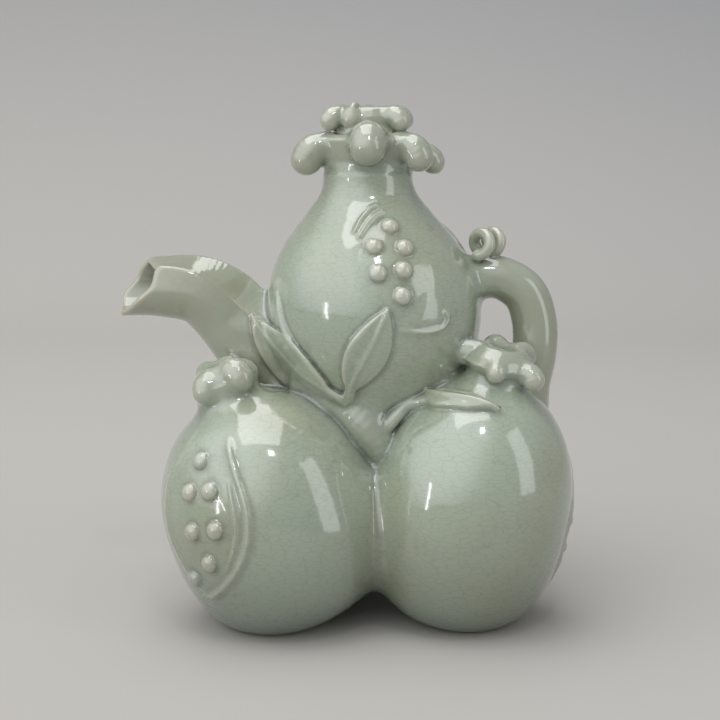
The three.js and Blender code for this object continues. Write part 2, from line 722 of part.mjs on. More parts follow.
// The clay that fills the hollow between the three front fruits, where the leaf stems meet. It starts in the
// cleft beside the spout and runs down into the valley between the two lower fruits.
const underUpper = (x, y, z) => v3(x, y, z).multiplyScalar(UPPER_RADIUS).add(v3(0, 0, seatHeight));
const knotCurve = new THREE.CatmullRomCurve3([
  underUpper(-0.66, -0.39, 0.49),
  underUpper(-0.4, -0.5, 0.35),
  underUpper(-0.13, -0.575, 0.19),
  underUpper(0.03, -0.6, -0.02),
  underUpper(0.06, -0.56, -0.23),
]);
const KNOT_RADII = [
  [0, 4.5],
  [0.35, 6],
  [0.65, 8],
  [1, 4.5],
];
function knotBody(grow) {
  const radii = (share) => {
    const radius = radiusAlong(KNOT_RADII, share) + grow;
    return [radius, radius];
  };
  return solid(sweep(knotCurve, 8, 10, radii, v3(0, -1, 0)));
}
piece("stem_knot", largest(cutBy(knotBody(0), [...grownFruits, grownSpout, ...grownLutings])));
const grownKnot = knotBody(LUTING_GAP);

const frontLeaf = leafOn(
  upperFruit,
  [
    [-111, 0.175],
    [-106, 0.235],
    [-99.5, 0.31],
    [-91.5, 0.406],
    [-84, 0.522],
  ],
  9.4,
  2.2,
);
const upperLip = lipBody(upperFruit, upperPocket, LUTING_GAP);
piece("front_leaf", largest(cutBy(frontLeaf, [...grownFruits, grownKnot, upperLip])));

// The right leaf bridges from the knot to the shoulder of its fruit and lies under the calyx.
const rightShoulder = stationsOn(rightFruit, [
  [-161, 0.89],
  [-142, 0.917],
  [-114.5, 0.93],
  [-88, 0.92],
]);
const leafStem = underUpper(0.17, -0.7, 0.23);
const rightLeafCurve = new THREE.CatmullRomCurve3([
  underUpper(0.03, -0.69, 0.11),
  leafStem,
  leafStem.clone().lerp(rightShoulder[0], 0.5),
  ...rightShoulder,
]);
const rightLeaf = leaf(rightLeafCurve, () => v3(-0.1, -0.7, 1), blade(3, 7.6), LEAF_THICKNESS, 0.02);
const rightCalyx = smallCalyx(rightFruit, RIGHT_STEM, RIGHT_PETALS);
const rightCalyxRoom = new THREE.CylinderGeometry(12, 12, 30, 16).rotateX(Math.PI / 2);
rightCalyxRoom.translate(0, 0, RIGHT_HEIGHT + 10).applyMatrix4(rightFruit.matrix);

piece("right_calyx", largest(cutBy(rightCalyx, [handleBody(LUTING_GAP), grownUpper])));
piece("right_leaf", largest(cutBy(rightLeaf, [...grownFruits, grownKnot, solid(rightCalyxRoom)])));

const handleLeaf = leafOn(
  upperFruit,
  [
    [16, 0.59],
    [24, 0.678],
    [36, 0.754],
    [50, 0.809],
  ],
  13,
  2,
);
piece("handle_leaf", largest(cutBy(handleLeaf, [grownUpper, handleBody(LUTING_GAP)])));

// The spout's leaf runs from the knot, up the cleft beside the upper fruit and onto the spout.
const spoutLeafCurve = new THREE.CatmullRomCurve3([
  underUpper(-0.27, -0.69, 0.34),
  underUpper(-0.455, -0.65, 0.455),
  besideUpper(-0.637, -0.575, -0.782),
  besideUpper(-0.822, -0.46, -0.633),
  besideUpper(-1, -0.36, -0.442),
  besideUpper(-1.128, -0.32, -0.245),
]);
const spoutLeaf = leaf(spoutLeafCurve, () => v3(-0.2, -1, 0.35), blade(2.6, 9), 3.4, 0.01);
piece("spout_leaf", largest(cutBy(spoutLeaf, [...grownFruits, grownSpout, grownKnot])));

// The tendril is one clay thread, curled nearly twice, that holds the cord of the lid.
function tendril() {
  const turns = 1.9;
  const steps = 26;
  const along = v3(0.55, 0.83, 0).normalize();
  const side = v3(along.y, -along.x, 0);
  const start = v3(handleTop.x + 2.6, -4.4, handleTop.z + HANDLE_RADIUS + TENDRIL_LOOP_RADIUS + 1.6);
  const places = Array.from({ length: steps + 1 }, (_, i) => {
    const share = i / steps;
    const angle = 2 * Math.PI * turns * share + 0.1 * Math.PI;
    return start
      .clone()
      .addScaledVector(along, TENDRIL_PITCH * turns * share)
      .addScaledVector(side, TENDRIL_LOOP_RADIUS * Math.cos(angle))
      .addScaledVector(UP, TENDRIL_LOOP_RADIUS * Math.sin(angle));
  });
  const thread = (share) => {
    const r = TENDRIL_THREAD_RADIUS * (0.55 + 0.45 * Math.sin(Math.PI * Math.min(0.5, 4 * share)));
    return [r, r];
  };
  const curve = new THREE.CatmullRomCurve3(places);
  return solid(sweep(curve, steps, 6, thread, along));
}
piece("tendril", largest(tendril().subtract(handleBody(LUTING_GAP))));

piece("lid", lid());

ewer.add(...seeds("upper_seed", upperFruit, upperPocket, UPPER_SEEDS));
ewer.add(...seeds("left_seed", leftFruit, leftPocket, LEFT_SEEDS));
ewer.add(...seeds("right_seed", rightFruit, rightPocket, LOWER_SEEDS));
ewer.add(...seeds("rear_seed", rearFruit, rearPocket, LOWER_SEEDS));

// The origin is the middle of the footprint, on the ground.
const bounds = new THREE.Box3().setFromObject(ewer);
const middle = bounds.getCenter(v3(0, 0, 0));
ewer.position.set(-middle.x, -middle.y, -bounds.min.z);

export default ewer;
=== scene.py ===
"""A celadon ewer of four nested pomegranates, on a pale seamless ground.

The fruits, limbs, petals, leaves and seeds are signed distances in millimetres, joined with the soft
fillets that slip and glaze leave. One closed surface is meshed from them and parted into the pieces that
the frame names, so neighbours share their edges. The lid is a surface of its own.
"""

import math

import bpy
import numpy as np
from mathutils import Matrix, Vector

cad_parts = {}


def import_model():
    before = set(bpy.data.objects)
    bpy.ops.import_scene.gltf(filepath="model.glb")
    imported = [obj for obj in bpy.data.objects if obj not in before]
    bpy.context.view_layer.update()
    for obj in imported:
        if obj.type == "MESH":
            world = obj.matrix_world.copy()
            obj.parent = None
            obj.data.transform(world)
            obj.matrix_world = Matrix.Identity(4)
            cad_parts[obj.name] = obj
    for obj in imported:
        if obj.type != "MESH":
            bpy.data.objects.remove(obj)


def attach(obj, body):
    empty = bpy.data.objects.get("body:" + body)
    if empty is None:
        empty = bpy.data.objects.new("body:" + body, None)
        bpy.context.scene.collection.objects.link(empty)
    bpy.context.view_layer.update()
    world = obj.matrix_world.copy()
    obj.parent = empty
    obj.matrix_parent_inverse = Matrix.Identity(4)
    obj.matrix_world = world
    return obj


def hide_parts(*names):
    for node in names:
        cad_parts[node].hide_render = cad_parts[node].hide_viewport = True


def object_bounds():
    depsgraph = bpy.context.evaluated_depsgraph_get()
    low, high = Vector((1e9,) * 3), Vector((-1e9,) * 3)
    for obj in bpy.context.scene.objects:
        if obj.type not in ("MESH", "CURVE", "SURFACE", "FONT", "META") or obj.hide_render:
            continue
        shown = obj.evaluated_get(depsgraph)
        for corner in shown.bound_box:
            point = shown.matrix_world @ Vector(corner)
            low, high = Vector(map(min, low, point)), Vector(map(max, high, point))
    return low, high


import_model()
CAD_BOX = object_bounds()

# Millimetres from the nest's middle to the frame's origin
SHIFT = np.array([10.22, -10.89, 0.0])
CELL = 0.7
FAR = 60.0
REACH = 10.0  # how far outside its own box a shape is still measured
RELIEF_REACH = 5.0  # how far from a fruit's skin its reliefs are measured
RIM_BLEND = 1.6  # roundness of the edges where rooms and the ground cut the surface

WALL = 4.0
SIDE_PRESS = 5.4
FOOT_DEPTH = 1.4
LEFT_RADIUS, LEFT_HEIGHT = 38.4, 86.0
RIGHT_RADIUS, RIGHT_HEIGHT = 35.4, 91.0
REAR_RADIUS, REAR_HEIGHT = 37.0, 87.0
UPPER_RADIUS, UPPER_HEIGHT, UPPER_LEAN = 38.3, 91.5, -0.053
UPPER_BASE = 66.545
SPOUT_SHARE = 0.565  # height of the spout as a share of the upper fruit's
MOUTH_RADIUS, MOUTH_DEPTH = 10.5, 12.0
CROWN_HEIGHT = 11.0
LEFT_STEM, RIGHT_STEM, REAR_STEM = 5.0, 4.5, 5.0

LOWER_OUTLINE = [
    (0, 0), (0.43, 0.02), (0.69, 0.08), (0.875, 0.18), (0.98, 0.33), (1, 0.49), (0.955, 0.65),
    (0.82, 0.79), (0.61, 0.9), (0.38, 0.965), (0.27, 1),
]
UPPER_OUTLINE = [
    (0, 0), (0.4, 0.035), (0.72, 0.15), (0.93, 0.31), (1, 0.47), (0.95, 0.61), (0.8, 0.735), (0.6, 0.84),
    (0.45, 0.925), (0.405, 1),
]

UP = np.array([0.0, 0.0, 1.0])
UPRIGHT = np.eye(3)


def unit(v):
    v = np.asarray(v, float)
    return v / np.linalg.norm(v, axis=-1, keepdims=True)


def smooth_min(a, b, k):
    share = np.maximum(k - np.abs(a - b), 0.0) / k
    return np.minimum(a, b) - share**3 * (k / 6.0)


def smooth_max(a, b, k):
    return -smooth_min(-a, -b, k)


def dot(a, b):
    return np.einsum("ij,ij->i", a, b)


def ease(low, high, x):
    t = np.clip((x - low) / (high - low), 0.0, 1.0)
    return t * t * (3.0 - 2.0 * t)


def curve(points, steps):
    """Evenly spaced points on a centripetal Catmull-Rom curve."""
    p = np.asarray(points, float)
    p = np.vstack([2 * p[0] - p[1], p, 2 * p[-1] - p[-2]])
    out = []
    for i in range(1, len(p) - 2):
        p0, p1, p2, p3 = p[i - 1 : i + 3]
        gaps = np.linalg.norm(np.diff(p[i - 1 : i + 3], axis=0), axis=1)
        t0, t1, t2, t3 = 0.0, *np.cumsum(gaps**0.5)
        t = np.linspace(t1, t2, 24, endpoint=False)[:, None]

        def mix(low, high, a, b):
            return (high - t) / (high - low) * a + (t - low) / (high - low) * b

        b1 = mix(t0, t2, mix(t0, t1, p0, p1), mix(t1, t2, p1, p2))
        b2 = mix(t1, t3, mix(t1, t2, p1, p2), mix(t2, t3, p2, p3))
        out.append(mix(t1, t2, b1, b2))
    out = np.vstack(out + [p[-2:-1]])
    along = np.concatenate([[0], np.cumsum(np.linalg.norm(np.diff(out, axis=0), axis=1))])
    even = np.linspace(0, along[-1], steps + 1)
    return np.stack([np.interp(even, along, out[:, i]) for i in range(out.shape[1])], axis=1)


def along_pairs(pairs, shares):
    """Values between listed [share, value] pairs, eased from one to the next."""
    pairs = np.asarray(pairs, float)
    i = np.clip(np.searchsorted(pairs[:, 0], shares, side="right"), 1, len(pairs) - 1)
    low, high = pairs[i - 1], pairs[i]
    return low[:, 1] + (high[:, 1] - low[:, 1]) * ease(low[:, 0], high[:, 0], shares)


def at_share(rows, shares):
    """Rows of an array along a path, at shares of the path."""
    place = shares * (len(rows) - 1)
    i = np.minimum(place.astype(int), len(rows) - 2)
    t = (place - i)[:, None]
    return rows[i] * (1 - t) + rows[i + 1] * t


def ellipsoid(q, radii, swell=1.0):
    """About the distance to an ellipsoid, or in a plane to an ellipse, swollen by a factor."""
    k0 = np.linalg.norm(q / radii, axis=1)
    k1 = np.linalg.norm(q / radii**2, axis=1)
    return k0 * (k0 - swell) / np.maximum(k1, 1e-6)


def to_segment(points, a, ab):
    """The share of a segment at which points are nearest to it, and their squared distance."""
    offset = points - a
    t = np.clip(offset @ ab / (ab @ ab), 0.0, 1.0)
    gap = offset - t[:, None] * ab
    return t, dot(gap, gap)


def nearest(points, path):
    """Distance to a path, and the share of the path at which it is nearest."""
    best = np.full(len(points), np.inf)
    place = np.zeros(len(points))
    for i in range(len(path) - 1):
        t, d = to_segment(points, path[i], path[i + 1] - path[i])
        closer = d < best
        best[closer] = d[closer]
        place[closer] = i + t[closer]
    return np.sqrt(best), place / (len(path) - 1)


class Shape:
    """A named part of the surface. `blend` is the width of the fillet to what is already there."""

    def __init__(self, name, low, high, blend):
        self.name = name
        self.low = np.asarray(low, float)
        self.high = np.asarray(high, float)
        self.blend = blend


def smooth_outline(corners):
    """A Catmull-Rom curve through the corners of a fruit's outline."""
    p = np.vstack([corners[:1], corners, corners[-1:]])
    samples = []
    for i in range(1, len(p) - 2):
        t = np.linspace(0, 1, 14, endpoint=False)[:, None]
        v0, v1 = (p[i + 1] - p[i - 1]) / 2, (p[i + 2] - p[i]) / 2
        step = p[i] - p[i + 1]
        cubic = (2 * step + v0 + v1) * t**3 + (-3 * step - 2 * v0 - v1) * t**2
        samples.append(cubic + v0 * t + p[i])
    return np.vstack(samples + [corners[-1:]])


class Fruit(Shape):
    """An outline turned about an axis that tilts and leans. Its reliefs raise and lower the skin."""

    def __init__(self, name, outline, radius, height, base, tilt=0, towards=0, lean=0, blend=1):
        self.samples = smooth_outline(np.array(outline) * (radius, height))
        self.radius, self.height, self.lean = radius, height, lean
        self.belly = self.samples[self.samples[:, 0].argmax(), 1]
        towards = math.radians(towards)
        turn = Matrix.Rotation(math.radians(tilt), 4, (-math.sin(towards), math.cos(towards), 0))
        base = Vector(base)
        matrix = Matrix.Translation(base + Vector((0, 0, self.belly))) @ turn
        self.matrix = np.array(matrix @ Matrix.Translation((0, 0, -self.belly)))
        self.inverse = np.linalg.inv(self.matrix)
        self.reliefs = []
        self.make_table()
        angles, rises = np.linspace(0, 360, 24), np.linspace(0, height, 20)
        skin = [self.point(angle, rise) for angle in angles for rise in rises]
        super().__init__(name, np.min(skin, axis=0), np.max(skin, axis=0), blend)

    def make_table(self):
        """Signed distance to the outline on a fine grid of radius and height."""
        self.step = 0.5
        self.edge = 16.0
        self.r0, self.z0 = -2.0, -self.edge
        r = np.arange(self.r0, self.radius + self.edge, self.step)
        z = np.arange(self.z0, self.height + self.edge, self.step)
        grid = np.stack(np.meshgrid(np.abs(r), z, indexing="ij"), axis=-1).reshape(-1, 2)
        path = np.vstack([self.samples, [(0, self.height)]])
        path = path[np.concatenate([[True], np.linalg.norm(np.diff(path, axis=0), axis=1) > 1e-6])]
        distance, _ = nearest(grid, path)
        across = np.interp(grid[:, 1], self.samples[:, 1], self.samples[:, 0])
        inside = (grid[:, 1] > 0) & (grid[:, 1] < self.height) & (grid[:, 0] < across)
        self.table = np.where(inside, -distance, distance).reshape(len(r), len(z))

    def local(self, points):
        q = points @ self.inverse[:3, :3].T + self.inverse[:3, 3]
        q[:, 0] -= self.lean * (q[:, 2] - self.belly)
        return q

    def skin(self, q):
        """Distance to the plain skin, for points in the fruit's own axes."""
        r = np.hypot(q[:, 0], q[:, 1])
        u = np.clip((r - self.r0) / self.step, 0, self.table.shape[0] - 1.001)
        v = np.clip((q[:, 2] - self.z0) / self.step, 0, self.table.shape[1] - 1.001)
        i, j = u.astype(int), v.astype(int)
        u, v = u - i, v - j
        t = self.table
        low = t[i, j] * (1 - u) + t[i + 1, j] * u
        high = t[i, j + 1] * (1 - u) + t[i + 1, j + 1] * u
        return low * (1 - v) + high * v

    def measure(self, points):
        return self.skin(self.local(points))

    def distance(self, points):
        q = self.local(points)
        d = self.skin(q)
        near = np.abs(d) < RELIEF_REACH
        if self.reliefs and near.any():
            place, own, rise = points[near], q[near], d[near]
            d[near] -= sum(relief(place, own, rise) for relief in self.reliefs)
        return d

    def point(self, angle, rise, lift=0.0):
        """The point of the skin at an angle in degrees and a height above the base, raised by lift."""
        along = np.gradient(self.samples, axis=0)
        out = unit(np.stack([along[:, 1], -along[:, 0]], axis=1))
        z = self.samples[:, 1]
        r = np.interp(rise, z, self.samples[:, 0]) + lift * np.interp(rise, z, out[:, 0])
        z = rise + lift * np.interp(rise, z, out[:, 1])
        a = math.radians(angle)
        x = r * math.cos(a) + self.lean * (z - self.belly)
        return self.matrix[:3, :3] @ (x, r * math.sin(a), z) + self.matrix[:3, 3]

    def on_axis(self, rise):
        return self.matrix[:3, :3] @ (0, 0, rise) + self.matrix[:3, 3]

    def normal(self, angle, rise):
        return unit(self.point(angle, rise, 1) - self.point(angle, rise))


class Limb(Shape):
    """A round limb along a path, with a radius for each point of it."""

    def __init__(self, name, path, radii, blend):
        self.path = np.asarray(path, float)
        self.radii = np.broadcast_to(radii, len(self.path))
        widest = self.radii.max()
        super().__init__(name, self.path.min(0) - widest, self.path.max(0) + widest, blend)

    def distance(self, points):
        best = np.full(len(points), FAR)
        for i in range(len(self.path) - 1):
            t, d = to_segment(points, self.path[i], self.path[i + 1] - self.path[i])
            r = self.radii[i] + (self.radii[i + 1] - self.radii[i]) * t
            best = np.minimum(best, np.sqrt(d) - r)
        return best


class Blob(Shape):
    """An ellipsoid with its own axes."""

    def __init__(self, name, centre, radii, blend, axes=UPRIGHT):
        self.centre, self.radii, self.axes = centre, np.array(radii), axes
        reach = np.abs(axes.T) @ self.radii
        super().__init__(name, centre - reach, centre + reach, blend)

    def distance(self, points):
        return ellipsoid((points - self.centre) @ self.axes.T, self.radii)


RIB_SPREAD = 0.9
LEAF_EDGE = 0.8  # roundness of a leaf's outline


class Leaf(Shape):
    """A leaf pressed onto a ground, which it follows, with a raised midrib and one curled edge.

    `out` is the direction of its face, for the whole midrib or for each point of it.
    """

    def __init__(self, name, ground, midrib, out, half_widths, thickness, blend, rib, curl=0.0):
        self.ground = ground
        self.path = np.asarray(midrib, float)
        self.tangent = unit(np.gradient(self.path, axis=0))
        self.across = unit(np.cross(np.broadcast_to(out, self.path.shape), self.tangent))
        self.half_widths = np.reshape(half_widths, (-1, 1))
        self.half_thick, self.rib, self.curl = thickness / 2, rib, curl
        widest = self.half_widths.max() + 1
        super().__init__(name, self.path.min(0) - widest, self.path.max(0) + widest, blend)

    def lay(self, points):
        """How far points are across the leaf and past its ends, and its half width there."""
        _, share = nearest(points, self.path)
        offset = points - at_share(self.path, share)
        side = dot(offset, at_share(self.across, share))
        along = dot(offset, at_share(self.tangent, share))
        past = np.where(share <= 0, -along, np.where(share >= 1, along, 0.0))
        return side, np.maximum(past, 0), at_share(self.half_widths, share)[:, 0]

    def distance(self, points):
        side, past, wide = self.lay(points)
        across = np.clip(side / wide, -1, 1)
        top = self.half_thick * (1 + np.sqrt(1 - across**2))
        top += self.rib * np.exp(-((side / RIB_SPREAD) ** 2))
        top += abs(self.curl) * ease(0.35, 1.0, across * np.sign(self.curl))
        edge = np.hypot(np.maximum(np.abs(side) - wide + LEAF_EDGE, 0), past) - LEAF_EDGE
        return smooth_max(self.ground(points) - top, edge, 1.0)


class Pocket:
    """A shallow bed where a fruit's skin has torn open, inside raised lips.

    Each lip is [distance outside the edge, height, spread]. `side` keeps them to one side of the bed.
    """

    def __init__(self, fruit, angle, rise, length, width, lips, side=0, bed=(0.9, 1.8)):
        self.angle, self.rise = angle, rise * fruit.height
        self.length, self.width = length * fruit.height, width * fruit.radius
        self.lips, self.side, self.bed = lips, side, bed

    def __call__(self, points, q, d):
        turn = np.arctan2(q[:, 1], q[:, 0]) - math.radians(self.angle)
        side = ((turn + np.pi) % (2 * np.pi) - np.pi) * np.hypot(q[:, 0], q[:, 1])
        along = (q[:, 2] - self.rise) / (self.length / 2)
        half = self.width / 2 * (1 - along**2)
        slope = 2 * self.width * along / self.length
        edge = (half - np.abs(side)) / np.sqrt(1 + slope**2)
        share = ease(-2, 4, side * self.side) if self.side else 1.0
        uneven = share * (1 + 0.25 * np.sin(q[:, 2] * 0.33 + 2 * np.sign(side)))
        deep, soft = self.bed
        relief = -deep * ease(-0.2, soft, edge) * (1 - ease(0.7, 1, np.abs(along)))
        for out, height, spread in self.lips:
            relief += uneven * height * np.exp(-(((edge + out) / spread) ** 2))
        return relief


class Ridge:
    """A raised line on a fruit's skin, through [angle, height share] stations."""

    def __init__(self, fruit, stations, height, spread):
        self.path = curve([fruit.point(angle, share * fruit.height) for angle, share in stations], 30)
        self.height, self.spread = height, spread
        self.low, self.high = self.path.min(axis=0) - 4, self.path.max(axis=0) + 4

    def __call__(self, points, q, d):
        relief = np.zeros(len(points))
        near = np.all((points > self.low) & (points < self.high), axis=1)
        if near.any():
            gap, share = nearest(points[near], self.path)
            across = np.maximum(gap**2 - d[near] ** 2, 0.0)
            ends = ease(0, 0.12, share) * ease(0, 0.12, 1 - share)
            relief[near] = self.height * ends * np.exp(-across / self.spread**2)
        return relief


# The nest


def nest(left, right, rear):
    """Places of three fruits that stand in a triangle, pressed into each other, about its middle."""
    across = left + right - SIDE_PRESS
    left_reach = left + rear - SIDE_PRESS
    right_reach = right + rear - SIDE_PRESS
    x = (across**2 + left_reach**2 - right_reach**2) / (2 * across)
    y = math.sqrt(left_reach**2 - x**2)
    middle = np.array([(across + x) / 3, y / 3, 0])
    return [np.array(p) - middle for p in ((0, 0, 0), (across, 0, 0), (x, y, 0))]


left_place, right_place, rear_place = nest(LEFT_RADIUS, RIGHT_RADIUS, REAR_RADIUS)


def lower_fruit(name, radius, height, place, tilt, towards, blend):
    base = (place[0], place[1], -FOOT_DEPTH)
    return Fruit(name, LOWER_OUTLINE, radius, height, base, tilt, towards, blend=blend)


left_fruit = lower_fruit("lower_left_fruit", LEFT_RADIUS, LEFT_HEIGHT, left_place, 20, 180, 1)
right_fruit = lower_fruit("lower_right_fruit", RIGHT_RADIUS, RIGHT_HEIGHT, right_place, 11, -15, 14)
rear_fruit = lower_fruit("lower_rear_fruit", REAR_RADIUS, REAR_HEIGHT, rear_place, 17, 85, 9)
upper_fruit = Fruit(
    "upper_fruit", UPPER_OUTLINE, UPPER_RADIUS, UPPER_HEIGHT, (0, 0, UPPER_BASE), lean=UPPER_LEAN, blend=9
)
neck_rim = upper_fruit.point(0, UPPER_HEIGHT)[2]
mouth_axis = np.array([UPPER_LEAN * (UPPER_HEIGHT - upper_fruit.belly), 0, neck_rim])
spout_height = upper_fruit.point(0, SPOUT_SHARE * UPPER_HEIGHT)[2]

# Spout

SPOUT_REACH = 84.3
SPOUT_STEPS = 60
SPOUT_LINE = [
    (-27, -38), (-38, -28), (-46.5, -16.5), (-54.5, -7), (-64, -1.2), (-76, 0.4), (-88, 0.2),
    (-SPOUT_REACH - 18, 0),
]
SPOUT_PATH = [(x, 0, spout_height + rise) for x, rise in SPOUT_LINE]
SPOUT_HALF_HEIGHTS = [(0, 11), (0.2, 14.5), (0.42, 13.8), (0.62, 12), (0.82, 10.9), (1, 10.6)]
SPOUT_HALF_DEPTH = 10.2
SPOUT_WALL = 2.1
MOUTH_SLANT = math.radians(35)
MOUTH_YAW = 0.36
LIP_REACH = 91.4

# The flat faces in front and above, each [across rise, across depth, share of the half size]
FRONT_FACE = np.array([0.33, -0.944, 0.93])
TOP_FACE_AT_ROOT = np.array([0.85, -0.527, 0.76])
TOP_FACE_AT_MOUTH = np.array([0.989, -0.148, 0.74])


class Spout(Shape):
    """A tube of elliptic section, whose path lies in the plane y = 0, cut off on the slant."""

    def __init__(self, name, blend):
        self.path = curve(SPOUT_PATH, SPOUT_STEPS)
        shares = np.linspace(0, 1, SPOUT_STEPS + 1)
        depths = SPOUT_HALF_DEPTH * np.where(shares < 0.4, 1.2 - shares / 2, 1.0)
        self.halves = np.stack([along_pairs(SPOUT_HALF_HEIGHTS, shares), depths], axis=1)
        self.tangents = unit(np.gradient(self.path, axis=0))
        super().__init__(name, (-90, -13, spout_height - 52), (-15, 13, spout_height + 13), blend)

    def tube(self, points, wall, swell):
        """Distance to the tube less a wall, the share of the path, and how far past that points lie."""
        flat = points * (1, 0, 1)
        _, share = nearest(flat, self.path)
        tangent = unit(at_share(self.tangents, share))
        offset = flat - at_share(self.path, share)
        rise = offset[:, 2] * -tangent[:, 0] + offset[:, 0] * tangent[:, 2]
        side = points[:, 1]
        halves = at_share(self.halves, share)
        tube = ellipsoid(np.stack([rise, side], axis=1), halves - wall, swell)
        half, depth = halves.T
        fade = 0.3 * (1 - ease(0.2, 0.42, share))
        turn = ease(0.48, 0.72, share)
        top_face = np.outer(TOP_FACE_AT_ROOT, 1 - turn) + np.outer(TOP_FACE_AT_MOUTH, turn)
        for up, out, reach in (FRONT_FACE, top_face):
            face = up * rise / half + out * side / depth - reach - fade
            face /= np.hypot(up / half, out / depth)
            tube = smooth_max(tube, face + wall, 1.0)
        return tube, share, dot(offset, tangent)

    def skin(self, points):
        tube, share, along = self.tube(points, 0.0, 1.03)
        return np.where(share <= 0, np.maximum(tube, -along), tube)

    def bore(self, points):
        tube, share, _ = self.tube(points, SPOUT_WALL, 1.0)
        return np.maximum(tube + 2.5 * (1 - ease(0.2, 0.7, share)), (0.22 - share) * 90)

    def beyond_mouth(self, points):
        place = points - (-SPOUT_REACH - 1.0, 0, spout_height)
        slant = place[:, 2] * math.sin(MOUTH_SLANT) - place[:, 0] * math.cos(MOUTH_SLANT)
        dip = 1.3 * np.exp(-(((place[:, 2] - 1) / 3.5) ** 2))
        return smooth_max(slant - MOUTH_YAW * place[:, 1] + dip, -LIP_REACH - points[:, 0], 1.5)

    def distance(self, points):
        return smooth_max(self.skin(points), self.beyond_mouth(points), 2.0)


SPOUT_ROOT = [
    (-33.8, -16.5, 118), (-33, -19.2, 113.5), (-32.2, -20.5, 109.4), (-30.6, -22.2, 104.7),
    (-28.6, -24, 101), (-24.5, -25.2, 94),
]
spout = Spout("spout", 5)
root_radii = 1.7 * np.sin(np.pi * np.linspace(0.1, 0.9, 17)) ** 0.6
spout_root = Limb("spout", curve(SPOUT_ROOT, 16), root_radii, 1.0)
spout_foot = Blob("spout", (-26.5, 0.3, spout_height - 38), (12, 13, 12), 4)
spout_throat = Limb("spout", [(-18, 0, spout_height - 16), spout.path[18]], [6, 7.5], 3)

# Handle

HANDLE_RADIUS = 7.4
HANDLE_REACH = 57.5
handle_top = upper_fruit.point(0, 0.6 * UPPER_HEIGHT, -3)
handle_foot = right_fruit.point(52, 0.84 * RIGHT_HEIGHT, -2)
HANDLE_BENDS = [(-11, 0, -0.2), (-3.5, -0.5, -5.5), (0, -1, -15.5), (0, -2, -27), (-2, -3, -38)]
bends = [(HANDLE_REACH + x, y, handle_top[2] + z) for x, y, z in HANDLE_BENDS]
handle_path = curve([handle_top, handle_top + (7, 0, 0.8), *bends, handle_foot], 90)
handle_shares = np.linspace(0, 1, 91)
handle_swell = 1 + 0.1 * np.sin(np.pi * handle_shares) + 0.16 * ease(0.8, 1, handle_shares)
handle = Limb("handle", handle_path, HANDLE_RADIUS * handle_swell, 7)

# Calyxes

PETAL_SWELL = [(0, 0.8), (0.35, 0.9), (0.65, 1), (0.82, 0.95), (0.93, 0.68), (1, 0.3)]


def petal(name, place, turn, size, root, blend, droop, thick_root=0.0):
    """A petal that rises from a share of its reach, the root, and droops at its tip."""
    angle, reach, radius, lift = size
    a = math.radians(angle)
    out = np.array([math.cos(a), math.sin(a), 0])
    stations = [
        out * reach * root + UP * (lift - 0.35 * radius),
        out * reach * 0.74 + UP * (lift + 0.12 * radius),
        out * reach + UP * (lift - 0.05 * radius),
        out * (reach + 0.7 * radius * droop) + UP * (lift - 1.05 * radius * droop),
    ]
    path = curve(stations, 12)
    shares = np.linspace(0, 1, 13)
    radii = radius * (along_pairs(PETAL_SWELL, shares) + thick_root * (1 - ease(0, 0.6, shares)))
    return Limb(name, path @ turn.T + place, radii, blend)


# Each petal is [angle, reach, radius, lift].
CROWN_PETALS = [
    (-90, 16.5, 6.8, 11.6), (-38, 20.4, 5.4, 9), (8, 22, 4.6, 5.9), (72, 19.2, 5.4, 8.6),
    (133, 19.2, 5.4, 8.6), (-164, 20.1, 5.9, 8.2),
]
LID_PETALS = [
    (-152, 14.1, 3.8, 8.4), (-38, 13.4, 4, 8.3), (25, 13.2, 3.9, 8.5), (88, 13, 4, 8.5),
    (148, 13, 4, 8.5),
]
LEFT_PETALS = [
    (-49, 9.5, 5.4, 1.4), (-127, 9, 4.7, 0.6), (135, 8.2, 3.4, 3.6), (70, 8, 4.2, 2), (12, 8.5, 4, 0.4),
]
RIGHT_PETALS = [
    (174, 12.2, 4.1, 1.7), (-100, 11.2, 3.5, -1), (-39, 14, 4.2, -1.2), (38, 11.5, 4, 3),
    (100, 10.8, 4, 3.6),
]
CALYX_SWELL = 3.4
DISH_RADIUS, DISH_RISE = 7.0, 9.6
REAR_PETALS = [(50 + 72 * i, 10.5, 4.2, 0) for i in range(5)]


class Collar(Shape):
    """A round collar about its own axis, with a radius at each of its heights."""

    def __init__(self, name, place, turn, radii, heights, blend):
        self.place, self.turn, self.radii, self.heights = place, turn, radii, heights
        reach = max(radii) + max(abs(h) for h in heights)
        super().__init__(name, place - reach, place + reach, blend)

    def distance(self, points):
        q = (points - self.place) @ self.turn
        r = np.hypot(q[:, 0], q[:, 1])
        wide = np.interp(q[:, 2], self.heights, self.radii)
        ends = np.maximum(self.heights[0] - q[:, 2], q[:, 2] - self.heights[-1])
        return smooth_max(r - wide, ends, 2.0)


def crown_shapes():
    neck = UPPER_OUTLINE[-1][0] * UPPER_RADIUS
    rim = CROWN_HEIGHT
    heights = [-5, 0, rim * 0.45, rim * 0.8, rim + 1.4, rim + 3]
    radii = [neck - 1.2, neck - 0.2, neck - 0.4, neck + 0.5, neck + 1.2, neck - 0.4]
    shapes = [Collar("crown_calyx", mouth_axis, UPRIGHT, radii, heights, 2.0)]
    for size in CROWN_PETALS:
        droop = 0.5 if size is CROWN_PETALS[0] else 0.9
        shapes.append(petal("crown_calyx", mouth_axis, UPRIGHT, size, 0.5, 4.5, droop, 0.18))
    return shapes


